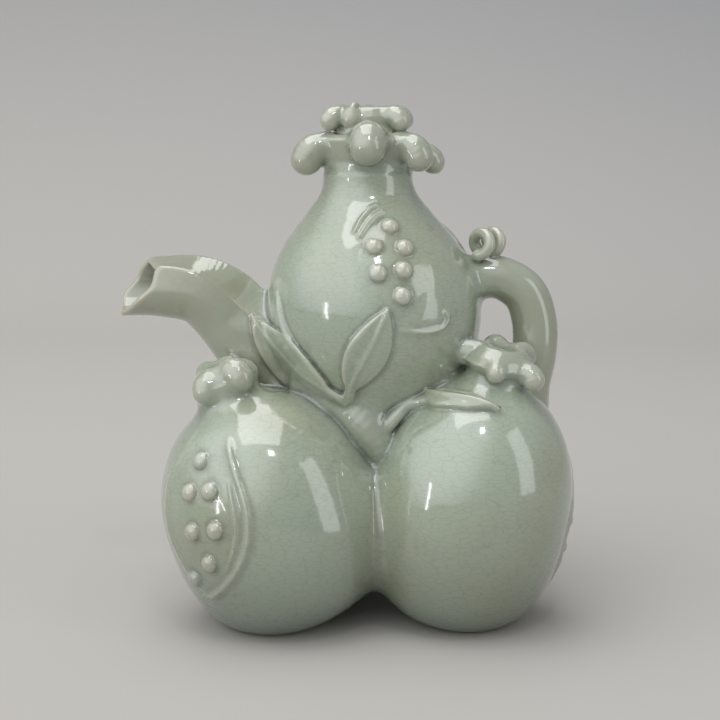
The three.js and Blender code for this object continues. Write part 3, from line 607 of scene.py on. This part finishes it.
def small_calyx(name, fruit, stem, sizes, saucer, droop, swell):
    """A short stem that widens into a saucer, with petals round it and its middle swollen up."""
    axes = fruit.matrix[:3, :3]
    top = fruit.on_axis(fruit.height + stem)
    collar = LOWER_OUTLINE[-1][0] * fruit.radius + 0.9
    heights = [-stem - 3, -2.5, 0.5, 3.2, 3.3 + swell]
    radii = [collar, collar, saucer, saucer - 1.5, saucer - 1.5 - 0.9 * swell]
    shapes = [Collar(name, top, axes, radii, heights, 3.5)]
    place = top + axes @ (0, 0, 1)
    return shapes + [petal(name, place, axes, size, 0.3, 3.5, droop) for size in sizes]


def calyx_dish(fruit, stem, swell):
    """The hollow in the middle of a small calyx."""
    middle = fruit.on_axis(fruit.height + stem + DISH_RISE + swell)
    return lambda points: np.linalg.norm(points - middle, axis=1) - DISH_RADIUS


# Seeds and pockets

SEED_RADII, SEED_SINK = (3.15, 3.15, 2.5), 0.5


def seeds(prefix, fruit, places):
    """Flattened pellets on a fruit's skin, at places of [angle, height share]."""
    shapes = []
    for i, (angle, share) in enumerate(places):
        n = fruit.normal(angle, share * fruit.height)
        across = unit(np.cross(UP, n))
        axes = np.array([across, np.cross(n, across), n])
        centre = fruit.point(angle, share * fruit.height, -SEED_SINK)
        shapes.append(Blob(f"{prefix}_{i + 1}", centre, SEED_RADII, 0.5, axes))
    return shapes


SEED_PATTERN = [
    (0.05, 0.62), (-0.36, 0.28), (0.34, 0.28), (-0.4, -0.14), (0.4, -0.12), (0.2, -0.5), (-0.3, -0.62),
]


def spread(angle, rise, length, width):
    """The places of the seeds in an opening, each a share of its half width and half length."""
    half = math.degrees(width / 2)
    return [(angle + side * half, rise + along * length / 2) for side, along in SEED_PATTERN]


UPPER_SEEDS = [(-74.2, 0.819), (-88.4, 0.751), (-67.8, 0.745), (-87.2, 0.657), (-72.2, 0.666), (-75, 0.574)]
LEFT_SEEDS = [
    (-117, 0.843), (-126.9, 0.743), (-112.2, 0.732), (-129.3, 0.594), (-114.3, 0.583), (-124.8, 0.457),
    (-141.4, 0.395),
]
DOUBLE_LIP = [(0.9, 0.75, 0.9), (3.6, 0.55, 0.9)]

# Creases round the two openings in front, each [stations, height, spread]
UPPER_FOLD = [
    (-52.5, 0.521), (-49.3, 0.482), (-52.5, 0.45), (-60.1, 0.437), (-69.3, 0.438), (-79.8, 0.454),
]
UPPER_CREASES = [
    ([(-78.5, 0.901), (-91.6, 0.872), (-98.7, 0.837), (-103, 0.785)], 0.8, 0.8),
    ([(-73.7, 0.879), (-86.4, 0.855), (-94.4, 0.816), (-99.9, 0.771)], 0.7, 0.75),
    (UPPER_FOLD, 0.6, 0.9),
]
LEFT_INNER_CREASE = [
    (-98.9, 0.768), (-99.7, 0.696), (-101.4, 0.603), (-104.8, 0.529), (-110.7, 0.46), (-118, 0.4),
]
LEFT_OUTER_CREASE = [
    (-94.9, 0.907), (-94.4, 0.84), (-93.9, 0.759), (-93.4, 0.693), (-94.1, 0.617), (-96.6, 0.552),
    (-102.2, 0.471), (-110.9, 0.403), (-122, 0.35), (-133.7, 0.316), (-143.6, 0.313),
]
LEFT_CREASES = [(LEFT_INNER_CREASE, 0.7, 0.7), (LEFT_OUTER_CREASE, 1.15, 1.25)]
upper_fruit.reliefs = [Pocket(upper_fruit, -77, 0.667, 0.481, 0.783, [], bed=(0.45, 5.0))]
upper_fruit.reliefs += [Ridge(upper_fruit, *crease) for crease in UPPER_CREASES]
left_lip = [(0.9, 0.3, 1.3)]
left_fruit.reliefs = [Pocket(left_fruit, -126, 0.605, 0.674, 0.885, left_lip, side=-1, bed=(0.5, 4.5))]
left_fruit.reliefs += [Ridge(left_fruit, *crease) for crease in LEFT_CREASES]
RIGHT_OPENING = (8, 0.418, 0.527, 0.734)
REAR_OPENING = (90, 0.483, 0.62, 0.81)
right_fruit.reliefs = [Pocket(right_fruit, *RIGHT_OPENING, DOUBLE_LIP)]
rear_fruit.reliefs = [Pocket(rear_fruit, *REAR_OPENING, DOUBLE_LIP)]

# Leaves


def blade(stem, width, steps):
    """Half widths of a leaf from its stem to its tip."""
    shares = np.linspace(0, 1, steps + 1)
    swell = np.sin(np.pi * np.clip((shares - 0.16) / 0.86, 0, 1))
    return np.maximum(0.5, stem * (1 - shares) + (width / 2) * np.maximum(swell, 0) ** 0.8)


def stations_on(fruit, stations, lift):
    return [fruit.point(angle, share * fruit.height, lift) for angle, share in stations]


def leaf_on(name, fruit, stations, width, stem, blend, curl):
    midrib = curve(stations_on(fruit, stations, 1.0), 24)
    out = unit(midrib - fruit.on_axis(fruit.belly))
    return Leaf(name, fruit.measure, midrib, out, blade(stem, width, 24), 2.0, blend, 0.5, curl)


def about_upper(height, places):
    """Points given in radii of the upper fruit, from a height on its axis."""
    return [np.array(place) * UPPER_RADIUS + (0, 0, height) for place in places]


KNOT = [
    (-0.66, -0.39, 0.49), (-0.4, -0.5, 0.35), (-0.13, -0.575, 0.19), (0.03, -0.6, -0.02),
    (0.06, -0.56, -0.23),
]
knot_path = curve(about_upper(UPPER_BASE, KNOT), 20)
KNOT_RADII = [(0, 4.5), (0.35, 6), (0.65, 8), (1, 4.5)]
stem_knot = Limb("stem_knot", knot_path, along_pairs(KNOT_RADII, np.linspace(0, 1, 21)), 4)
FRONT_LEAF = [(-111, 0.175), (-106, 0.235), (-99.5, 0.31), (-91.5, 0.406), (-84, 0.522)]
HANDLE_LEAF = [(16, 0.59), (24, 0.678), (36, 0.754), (50, 0.809)]
front_leaf = leaf_on("front_leaf", upper_fruit, FRONT_LEAF, 12.6, 2.2, 1.0, 1.0)
handle_leaf = leaf_on("handle_leaf", upper_fruit, HANDLE_LEAF, 13, 2, 1.2, 0.8)
RIGHT_SHOULDER = [(-170, 0.885), (-152, 0.905), (-134, 0.92), (-112, 0.927), (-89, 0.918)]
RIGHT_LEAF_STEM = [
    (-2, -26.5, 69), (3.4, -26.5, 71.5), (7.5, -26.5, 76), (11.5, -26, 79.6), (15.6, -27.3, 81),
    (20.5, -30.5, 82.6),
]
right_stem = Limb("right_leaf", curve(RIGHT_LEAF_STEM, 16), 2.4, 1.5)
right_midrib = curve(stations_on(right_fruit, RIGHT_SHOULDER, 1.2), 24)
right_widths = along_pairs([(0, 2.4), (0.3, 4.4), (0.6, 3.9), (1, 0.5)], np.linspace(0, 1, 25))
right_leaf = Leaf(
    "right_leaf", right_fruit.measure, right_midrib, (-0.1, -0.7, 1), right_widths, 2.6, 1.4, 0.8
)
SPOUT_LEAF_STEM = [(-0.27, -0.69, 0.34), (-0.455, -0.65, 0.455)]
SPOUT_LEAF = [
    (-0.637, -0.575, -0.782), (-0.822, -0.46, -0.633), (-1, -0.36, -0.442), (-1.128, -0.32, -0.245),
]
spout_midrib = curve(about_upper(UPPER_BASE, SPOUT_LEAF_STEM) + about_upper(spout_height, SPOUT_LEAF), 30)


def spout_ground(points):
    return smooth_min(upper_fruit.measure(points), spout.skin(points), 6.0)


spout_leaf = Leaf(
    "spout_leaf", spout_ground, spout_midrib, (-0.2, -1, 0.35), blade(2.6, 11.5, 30), 2.6, 1.2, 0.35
)

# Tendril

TENDRIL_RADIUS = 2.05
TENDRIL_RING = (4.4, 3.8)


def tendril():
    """A thread that rises, coils nearly twice beside the handle's top and thins at its end."""
    turns, steps, pitch = 1.9, 70, 7.0
    along = unit((0.62, 0.78, 0))
    side = np.array([along[1], -along[0], 0])
    wide, tall = TENDRIL_RING
    rise = handle_top[2] + HANDLE_RADIUS + tall + TENDRIL_RADIUS - 0.5
    start = np.array([handle_top[0] + 2.8, -5.2, rise])
    share = np.linspace(0, 1, steps + 1)[:, None]
    angle = 2 * np.pi * turns * share - 0.45 * np.pi
    path = start + along * pitch * turns * share + side * wide * np.cos(angle) + UP * tall * np.sin(angle)
    thread = TENDRIL_RADIUS * (1 - 0.35 * ease(0.75, 1, share[:, 0]))
    return Limb("tendril", path, thread, 1.3)


# Meshing

CHUNK = 8192  # how many points are measured at a time
CORNERS = np.array([[i, j, k] for i in (0, 1) for j in (0, 1) for k in (0, 1)])
BLOCK_REACH, FILLET_REACH = 1.0875, 0.6  # a block this near the surface is kept: sizes, plus mm


def in_chunks(measure, points):
    return np.concatenate([measure(points[i : i + CHUNK]) for i in range(0, len(points), CHUNK)])


class Surface:
    """Everything that is joined into one surface, and the rooms cut out of it."""

    def __init__(self, shapes, rooms, ground=None):
        self.shapes, self.rooms, self.ground = shapes, rooms, ground
        self.extras = []  # joined after the rooms are cut

    def solid(self, points, labels=False):
        f = np.full(len(points), FAR)
        owner = np.zeros(len(points), int)
        closest = np.full(len(points), FAR)
        low, high = points.min(axis=0), points.max(axis=0)
        for index, shape in enumerate(self.shapes):
            if (shape.low - REACH > high).any() or (shape.high + REACH < low).any():
                continue
            near = np.all((points > shape.low - REACH) & (points < shape.high + REACH), axis=1)
            if not near.any():
                continue
            d = shape.distance(points[near])
            f[near] = smooth_min(f[near], d, shape.blend)
            if labels:
                mine = d < closest[near]
                picked = np.flatnonzero(near)[mine]
                closest[picked] = d[mine]
                owner[picked] = index
        return (f, owner) if labels else f

    def field(self, points):
        f = self.solid(points)
        if self.ground is not None:
            f = smooth_max(f, self.ground - points[:, 2], RIM_BLEND)
        for room in self.rooms:
            f = smooth_max(f, -room(points), RIM_BLEND)
        for shape in self.extras:
            f = smooth_min(f, shape.distance(points), shape.blend)
        return f

    def values(self, points):
        return in_chunks(self.field, points)

    def owners(self, points):
        """The index of the shape that each point is nearest to."""
        return in_chunks(lambda chunk: self.solid(chunk, labels=True)[1], points)

    def gradient(self, points, step, here=None):
        """Central differences, or cheaper forward ones where the values at the points are given."""
        out = np.empty_like(points)
        for axis in range(3):
            offset = np.zeros(3)
            offset[axis] = step
            below = here if here is not None else self.values(points - offset)
            out[:, axis] = self.values(points + offset) - below
        return out / (step if here is not None else 2 * step)


def surface_nets(surface, low, high, cell):
    """Vertices and quads of the zero surface, from the blocks of the grid that it passes through."""
    block = 8
    low = np.asarray(low, float)
    counts = np.ceil((np.asarray(high) - low) / (cell * block)).astype(int)
    index = np.stack(np.meshgrid(*[np.arange(n) for n in counts], indexing="ij"), -1).reshape(-1, 3)
    size = block
    while size > 1:
        middle = low + (index + 0.5) * size * cell
        kept = np.abs(surface.values(middle)) < BLOCK_REACH * size * cell + FILLET_REACH
        index = (index[kept][:, None, :] * 2 + CORNERS).reshape(-1, 3)
        size //= 2
    shape = counts * block + 1
    strides = np.array([shape[1] * shape[2], shape[2], 1])
    cells = index @ strides
    needed = np.unique((cells[:, None] + CORNERS @ strides).ravel())
    place = np.stack(np.unravel_index(needed, shape), 1)
    compact = np.argsort((place // 16) @ strides, kind="stable")
    needed, place = needed[compact], place[compact]
    values = np.full(int(np.prod(shape)), np.nan, np.float32)
    values[needed] = surface.values(low + place * cell)
    f = values[cells[:, None] + CORNERS @ strides]
    mixed = (f.min(1) < 0) & (f.max(1) >= 0)
    index, cells, f = index[mixed], cells[mixed], f[mixed]
    total = np.zeros((len(cells), 3))
    count = np.zeros(len(cells))
    for a in range(8):
        for b in range(a + 1, 8):
            if np.abs(CORNERS[a] - CORNERS[b]).sum() != 1:
                continue
            crossed = (f[:, a] < 0) != (f[:, b] < 0)
            t = f[crossed, a] / (f[crossed, a] - f[crossed, b])
            total[crossed] += CORNERS[a] + t[:, None] * (CORNERS[b] - CORNERS[a])
            count[crossed] += 1
    vertices = low + (index + total / count[:, None]) * cell
    number = np.full(int(np.prod(shape)), -1, np.int32)
    number[cells] = np.arange(len(cells))
    quads = []
    for axis in range(3):
        start, end = f[:, 0], f[:, 0b100 >> axis]
        crossed = (start < 0) != (end < 0)
        u, v = strides[(axis + 1) % 3], strides[(axis + 2) % 3]
        base = cells[crossed]
        ring = np.stack([number[base], number[base - u], number[base - u - v], number[base - v]], 1)
        ring[start[crossed] >= 0] = ring[start[crossed] >= 0][:, ::-1]
        quads.append(ring[(ring >= 0).all(1)])
    return vertices, np.vstack(quads)


def project(surface, vertices, rounds):
    """Moves vertices onto the zero surface, by half a cell at most in each round."""
    for _ in range(rounds):
        here = surface.values(vertices)
        slope = surface.gradient(vertices, 0.2, here)
        step = (here / np.maximum((slope**2).sum(1), 0.05))[:, None] * slope
        length = np.linalg.norm(step, axis=1, keepdims=True)
        vertices = vertices - step * np.minimum(1, CELL * 0.5 / np.maximum(length, 1e-9))
    return vertices


def relax(values, quads, share):
    """Moves each vertex's values part of the way to the mean of its neighbours'."""
    total = np.zeros_like(values)
    count = np.zeros(len(values))
    for a, b in ((0, 1), (1, 2), (2, 3), (3, 0)):
        for i, j in ((a, b), (b, a)):
            for axis in range(values.shape[1]):
                total[:, axis] += np.bincount(quads[:, i], values[quads[:, j], axis], len(values))
            count += np.bincount(quads[:, i], minlength=len(values))
    return values + share * (total / np.maximum(count, 1)[:, None] - values)


def glaze_pool_and_crease_shade(vertices, quads, normals, cell):
    """Smoothed curvature in 1/mm: above 0 in hollows, where glaze pools, and below 0 on edges. The glaze
    reads it both as glaze thickness and as painted shade in creases and a painted highlight on ridges.
    """
    sag = ((relax(vertices, quads, 1.0) - vertices) * normals).sum(axis=1, keepdims=True)
    pool_and_crease_shade = np.clip(sag * 2 / cell**2, -1, 1)
    for _ in range(round(5 * (0.7 / cell) ** 2) + 1):
        pool_and_crease_shade = relax(pool_and_crease_shade, quads, 0.7)
    return pool_and_crease_shade[:, 0]


def placed(name, data):
    thing = bpy.data.objects.new(name, data)
    bpy.context.scene.collection.objects.link(thing)
    return thing


def mesh_object(name, vertices, quads, normals, glaze):
    """An object in metres from some of the quads, with the values that its glaze reads."""
    used, faces = np.unique(quads, return_inverse=True)
    faces = faces.reshape(quads.shape)
    mesh = bpy.data.meshes.new(name)
    mesh.vertices.add(len(used))
    mesh.vertices.foreach_set("co", ((vertices[used] + SHIFT) / 1000).astype(np.float32).ravel())
    mesh.loops.add(faces.size)
    mesh.loops.foreach_set("vertex_index", faces.astype(np.int32).ravel())
    mesh.polygons.add(len(faces))
    mesh.polygons.foreach_set("loop_start", np.arange(0, faces.size, 4, dtype=np.int32))
    mesh.update()
    mesh.validate()
    mesh.shade_smooth()
    for key, values in glaze.items():
        values = values[used].astype(np.float32)
        mesh.attributes.new(key, "FLOAT", "POINT").data.foreach_set("value", values)
    mesh.normals_split_custom_set_from_vertices(normals[used].tolist())
    return placed(name, mesh)


def build(surface, low, high, cell):
    vertices, quads = surface_nets(surface, low, high, cell)
    vertices = project(surface, vertices, 1)
    vertices = relax(vertices, quads, 0.6)
    vertices = project(surface, vertices, 2)
    normals = unit(surface.gradient(vertices, 0.4))
    skin = np.minimum.reduce([fruit.measure(vertices) for fruit in fruits])
    # The curvature drives both real glaze thickness and painted crease shade and ridge highlight
    glaze = {"pool_and_crease_shade": glaze_pool_and_crease_shade(vertices, quads, normals, cell), "away": ease(0.5, 8, skin)}
    low, high = np.array(CAD_BOX) * 1000 - SHIFT
    return np.clip(vertices, low, high), quads, normals, glaze


# The ewer

# Each calyx is [name, fruit, stem, petals, radius of the saucer, droop, swell].
CALYXES = [
    ("left_calyx", left_fruit, LEFT_STEM, LEFT_PETALS, 11.4, 0.55, CALYX_SWELL),
    ("right_calyx", right_fruit, RIGHT_STEM, RIGHT_PETALS, 12.6, 0.6, CALYX_SWELL),
    ("rear_calyx", rear_fruit, REAR_STEM, REAR_PETALS, 12, 0.7, 0.0),
]
SEEDS = [
    ("upper_seed", upper_fruit, UPPER_SEEDS),
    ("left_seed", left_fruit, LEFT_SEEDS),
    ("right_seed", right_fruit, spread(*RIGHT_OPENING)),
    ("rear_seed", rear_fruit, spread(*REAR_OPENING)),
]
lower_fruits = [left_fruit, right_fruit, rear_fruit]
fruits = [*lower_fruits, upper_fruit]
limbs = [*lower_fruits, stem_knot, upper_fruit, spout, spout_foot, handle]
limbs += crown_shapes()
for calyx in CALYXES:
    limbs += small_calyx(*calyx)
limbs += [spout_root, front_leaf, right_leaf, right_stem, handle_leaf, spout_leaf]
for group in SEEDS:
    limbs += seeds(*group)
limbs.append(tendril())


ROOM_BLEND = 3.0
PARTITION = 2.9  # how far the room of the upper fruit stays from the lower ones
LID_SEAT_RADIUS = 13.2


def from_mouth(points):
    return np.hypot(points[:, 0] - mouth_axis[0], points[:, 1])


def inner_room(points):
    """The hollow of the upper fruit, open to the spout and the mouth."""
    room = upper_fruit.measure(points) + WALL
    room = smooth_min(room, spout_throat.distance(points), ROOM_BLEND)
    room = smooth_min(room, spout.bore(points), ROOM_BLEND)
    for fruit in lower_fruits:
        room = np.maximum(room, PARTITION - fruit.measure(points))
    mouth = np.maximum(from_mouth(points) - MOUTH_RADIUS, neck_rim - MOUTH_DEPTH - points[:, 2])
    return smooth_min(room, mouth, ROOM_BLEND)


def lid_seat_room(points):
    """Room for the lid, inside the crown's petals."""
    return np.maximum(from_mouth(points) - LID_SEAT_RADIUS, neck_rim + CROWN_HEIGHT - points[:, 2])


rooms = [inner_room, lid_seat_room]
rooms += [calyx_dish(fruit, stem, swell) for _, fruit, stem, *_, swell in CALYXES]


def make_ewer():
    """Everything but the lid, as one surface parted into its pieces."""
    surface = Surface(limbs, rooms, ground=0.0)
    vertices, quads, normals, glaze = build(surface, (-94, -64, -2), (70, 84, 180), CELL)
    middles = vertices[quads].mean(axis=1)
    names = np.array([shape.name for shape in limbs])[surface.owners(middles)]
    pieces = {}
    for name in dict.fromkeys(shape.name for shape in limbs):
        chosen = quads[names == name]
        if len(chosen):
            pieces[name] = mesh_object(f"{name}_glazed", vertices, chosen, normals, glaze)
    return pieces


LID_DISH, LID_TOP = 14.0, 10.9
LID_HOOK, HOOK_RADIUS = (-4.4, -7.6, 10.9), 2.0
HOOK_TURN = math.radians(60)
LID_ROOM = 21


def make_lid():
    """Petals round a dished middle, a small hook on one side, and a plug below."""
    seat = mouth_axis + (0, 0, CROWN_HEIGHT + 0.3)
    saucer = Collar("lid", seat, UPRIGHT, [12.4, 12.6, 11.4], [0, 3.4, 5.6], 1.0)
    dome = Collar("lid", seat, UPRIGHT, [11.2, 10.6, 9.0, 6.8], [3.4, 9.0, 11.6, 12.7], 1.5)
    petals = [petal("lid", seat, UPRIGHT, size, 0.35, 3.0, 0.7, 0.15) for size in LID_PETALS]
    plug = Collar("lid", seat, UPRIGHT, [9.7, 9.7], [-7.5, 1], 1.0)
    bowl = seat + (0, 0, LID_TOP + LID_DISH)

    def dish(points):
        return np.linalg.norm(points - bowl, axis=1) - LID_DISH

    surface = Surface([saucer, dome, *petals, plug], [dish])
    turn = np.linspace(0, 2 * np.pi, 17)[:, None]
    across = np.array([math.cos(HOOK_TURN), math.sin(HOOK_TURN), 0])
    loop = seat + LID_HOOK + HOOK_RADIUS * (np.cos(turn) * across + np.sin(turn) * UP)
    surface.extras = [
        Blob("lid", seat + (-5.4, -7.6, 8), (4.2, 3.6, 4.5), 1.5),
        Limb("lid", loop, 1.0, 0.8),
    ]
    low, high = seat + (-LID_ROOM, -LID_ROOM, -10), seat + (LID_ROOM, LID_ROOM, 15)
    vertices, quads, normals, glaze = build(surface, low, high, min(CELL, 0.9))
    return mesh_object("lid_glazed", vertices, quads, normals, glaze)


# Glaze


class Tree:
    """Short ways to add nodes to a material or a world."""

    def __init__(self, owner, end):
        owner.use_nodes = True
        self.nodes, self.links = owner.node_tree.nodes, owner.node_tree.links
        self.end = self.nodes[end]

    def feed(self, node, inputs):
        """Sets inputs of a node, each to a value or by a link from another node's output."""
        for key, value in inputs.items():
            if isinstance(value, bpy.types.NodeSocket):
                self.links.new(value, node.inputs[key])
            else:
                node.inputs[key].default_value = value

    def add(self, kind, inputs, **settings):
        node = self.nodes.new(f"ShaderNode{kind}")
        for key, value in settings.items():
            setattr(node, key, value)
        self.feed(node, inputs)
        return node

    def coordinates(self, kind):
        return self.add("TexCoord", {}).outputs[kind]

    def axes(self, where):
        return self.add("SeparateXYZ", {"Vector": where}).outputs

    def attribute(self, key):
        return self.add("Attribute", {}, attribute_name=key).outputs["Fac"]

    def noise(self, where, scale, detail):
        return self.add("TexNoise", {"Vector": where, "Scale": scale, "Detail": detail}).outputs["Fac"]

    def ranged(self, value, low, high, to_low, to_high, easing="LINEAR"):
        limits = {"From Min": low, "From Max": high, "To Min": to_low, "To Max": to_high}
        node = self.add("MapRange", {"Value": value, **limits}, interpolation_type=easing)
        return node.outputs["Result"]

    def joined(self, operation, a, b):
        return self.add("Math", {0: a, 1: b}, operation=operation).outputs[0]

    def tinted(self, share, colour, tint):
        """A colour multiplied by a tint, as far as the share says."""
        inputs = {"Factor": share, "A": colour, "B": (*tint, 1)}
        return self.add("Mix", inputs, data_type="RGBA", blend_type="MULTIPLY").outputs["Result"]

    def ramp(self, value, stops):
        node = self.add("ValToRGB", {"Fac": value})
        elements = node.color_ramp.elements
        while len(elements) < len(stops):
            elements.new(0.5)
        for element, (place, colour) in zip(elements, stops):
            element.position = place
            element.color = (*colour, 1)
        return node.outputs["Color"]


def linear(r, g, b):
    return tuple(((c / 255 + 0.055) / 1.055) ** 2.4 for c in (r, g, b))


CLAY_TINT = (0.95, 0.89, 0.885)
# Painted shade: the tint that darkens the lower parts of the fruits towards the foot
FOOT_SHADE_TINT = (0.5, 0.53, 0.5)
STAIN_TINT = (0.96, 0.88, 0.81)
CRACK_TINT = (0.25, 0.22, 0.17)


def glaze_colour(tree, where, away, deep, middle, pale):
    """Deep in hollows and pale on edges, partly from thick and thin glaze and partly as painted shade in
    creases and a painted highlight on ridges, with clouds, specks, painted shade darker towards the foot,
    and stains.
    """
    # Partly real and partly painted: thick glaze in hollows and thin glaze on edges, with painted shade in
    # creases and a painted highlight on ridges
    thin_glaze_and_painted_light = tree.ranged(tree.attribute("pool_and_crease_shade"), -0.3, 0.3, 1, 0)
    cloud = tree.ranged(tree.noise(where, 38, 3), 0.3, 0.7, -0.06, 0.06)
    specks = tree.ranged(tree.noise(where, 420, 2), 0.3, 0.7, -0.04, 0.04)
    shade = tree.joined("ADD", tree.joined("ADD", thin_glaze_and_painted_light, cloud), specks)
    colour = tree.ramp(shade, [(0.05, deep), (0.5, middle), (0.62, middle), (0.9, pale)])
    colour = tree.tinted(away, colour, CLAY_TINT)
    # Painted shade: darker towards the foot, over the lowest 55 mm
    painted_foot_shade = tree.ranged(tree.axes(where)["Z"], 0.0, 0.055, 1.0, 0.0)
    colour = tree.tinted(painted_foot_shade, colour, FOOT_SHADE_TINT)
    stains = tree.ranged(tree.noise(where, 24, 5), 0.46, 0.66, 0.0, 0.8)
    return tree.tinted(stains, colour, STAIN_TINT)


def crackle(tree, where, away):
    """Fine lines round cells that are wider than tall, fainter on the limbs."""
    stretched = tree.add("Mapping", {"Vector": where, "Scale": (0.9, 0.9, 2.4)}).outputs["Vector"]
    cells = tree.add("TexVoronoi", {"Vector": stretched, "Scale": 270}, feature="DISTANCE_TO_EDGE")
    line = tree.ranged(cells.outputs["Distance"], 0.0, 0.06, 0.2, 0.0)
    return tree.joined("MULTIPLY", line, tree.ranged(away, 0.0, 0.6, 1.0, 0.15))


def glaze_material(name, deep, middle, pale):
    """Glossy crackled glaze, greyer on the limbs, away from the fruits."""
    material = bpy.data.materials.new(name)
    tree = Tree(material, "Principled BSDF")
    where = tree.coordinates("Object")
    away = tree.attribute("away")
    colour = glaze_colour(tree, where, away, deep, middle, pale)
    height = tree.noise(where, 110, 3)
    bump = tree.add("Bump", {"Strength": 0.3, "Distance": 0.0004, "Height": height}).outputs["Normal"]
    skin = {
        "Base Color": tree.tinted(crackle(tree, where, away), colour, CRACK_TINT),
        "Roughness": tree.ranged(tree.noise(where, 60, 3), 0.3, 0.7, 0.1, 0.2),
        "IOR": 1.5,
        "Coat Weight": 0.9,
        "Coat Roughness": 0.07,
        "Coat IOR": 1.8,
        "Normal": bump,
        "Coat Normal": bump,
    }
    tree.feed(tree.end, skin)
    return material


celadon = glaze_material(
    "celadon_glaze_surface", linear(106, 114, 101), linear(156, 168, 150), linear(180, 187, 170)
)
seed_glaze = glaze_material(
    "seed_glaze_surface", linear(106, 113, 101), linear(167, 174, 159), linear(187, 192, 178)
)

pieces = make_ewer()
lid_piece = make_lid()
for name, piece in pieces.items():
    is_seed = "_seed_" in name
    piece.data.materials.append(seed_glaze if is_seed else celadon)
    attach(piece, "ewer")
    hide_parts(name)
lid_piece.data.materials.append(celadon)
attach(lid_piece, "lid")
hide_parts("lid")


# Studio


def paper():
    """Matt paper with painted shade: greyer towards the top of the wall and the right, where the light
    falls off.
    """
    material = bpy.data.materials.new("paper")
    tree = Tree(material, "Principled BSDF")
    axes = tree.axes(tree.coordinates("Object"))
    # Painted shade: the paper darkens upwards and to the right
    painted_shade_up = tree.ranged(axes["Z"], 0.0, 0.28, 0.0, 0.65)
    painted_shade_right = tree.ranged(axes["X"], -0.4, 0.4, 0.0, 0.35)
    stops = [(0.0, linear(187, 184, 178)), (1.0, linear(160, 160, 161))]
    colour = tree.ramp(tree.joined("ADD", painted_shade_up, painted_shade_right), stops)
    tree.feed(tree.end, {"Roughness": 0.9, "Specular IOR Level": 0.1, "Base Color": colour})
    return material


def backdrop():
    """A floor that curves up into a wall behind the ewer."""
    width, radius, front, back, top, steps = 3.0, 0.5, -1.6, 1.1, 1.8, 16
    outline = [(front, 0.0), (back - radius, 0.0)]
    for i in range(1, steps + 1):
        a = math.pi / 2 * i / steps
        outline.append((back - radius + radius * math.sin(a), radius - radius * math.cos(a)))
    outline.append((back, top))
    vertices = [(x, y, z) for y, z in outline for x in (-width / 2, width / 2)]
    faces = [(2 * i, 2 * i + 1, 2 * i + 3, 2 * i + 2) for i in range(len(outline) - 1)]
    mesh = bpy.data.meshes.new("backdrop")
    mesh.from_pydata(vertices, [], faces)
    mesh.shade_smooth()
    mesh.materials.append(paper())
    placed("backdrop", mesh)


def area_light(name, place, target, size, power):
    data = bpy.data.lights.new(name, "AREA")
    data.shape = "RECTANGLE"
    data.size, data.size_y = size
    data.energy = power
    lamp = placed(name, data)
    lamp.location = place
    lamp.rotation_euler = (Vector(target) - Vector(place)).to_track_quat("-Z", "Y").to_euler()


CAMERA_TARGET = (0.00502, -0.00085, 0.08917)
CAMERA_RISE, CAMERA_DISTANCE = math.radians(10), 0.56
HALF_IMAGE, FOCAL_LENGTH = 360, 1518.1  # in pixels


def camera():
    target = Vector(CAMERA_TARGET)
    data = bpy.data.cameras.new("camera")
    data.sensor_fit = "HORIZONTAL"
    data.angle = 2 * math.atan(HALF_IMAGE / FOCAL_LENGTH)
    data.clip_start = 0.01
    view = placed("camera", data)
    away = Vector((0, -math.cos(CAMERA_RISE), math.sin(CAMERA_RISE)))
    view.location = target + away * CAMERA_DISTANCE
    view.rotation_euler = (target - view.location).to_track_quat("-Z", "Y").to_euler()
    bpy.context.scene.camera = view


SOFT_LIGHT = (-0.6, -0.5, 0.62)


def world():
    """A dim room, brighter towards a soft light above on the left."""
    sky = bpy.data.worlds.new("studio")
    bpy.context.scene.world = sky
    tree = Tree(sky, "Background")
    inputs = {0: tree.coordinates("Generated"), 1: unit(SOFT_LIGHT)}
    towards = tree.add("VectorMath", inputs, operation="DOT_PRODUCT")
    glow = tree.ranged(towards.outputs["Value"], 0.45, 1.0, 0.38, 1.65, "SMOOTHSTEP")
    tree.feed(tree.end, {"Color": (0.97, 0.98, 1, 1), "Strength": glow})


backdrop()
camera()
world()
area_light("overhead", (-0.1, 0.1, 0.95), (-0.1, 0.1, 0), (0.62, 1.0), 3.9)
area_light("front", (0.09, -0.5, 0.8), (0, 0, 0.08), (0.07, 0.07), 0.4)
area_light("left_strip", (-0.6, -0.5, 0.1), (0, 0, 0.08), (0.04, 0.22), 0.2)
area_light("right_panel", (1.0, -0.6, 0.5), (0, 0, 0.08), (0.42, 1.1), 1.9)
bpy.context.scene.view_settings.view_transform = "Standard"
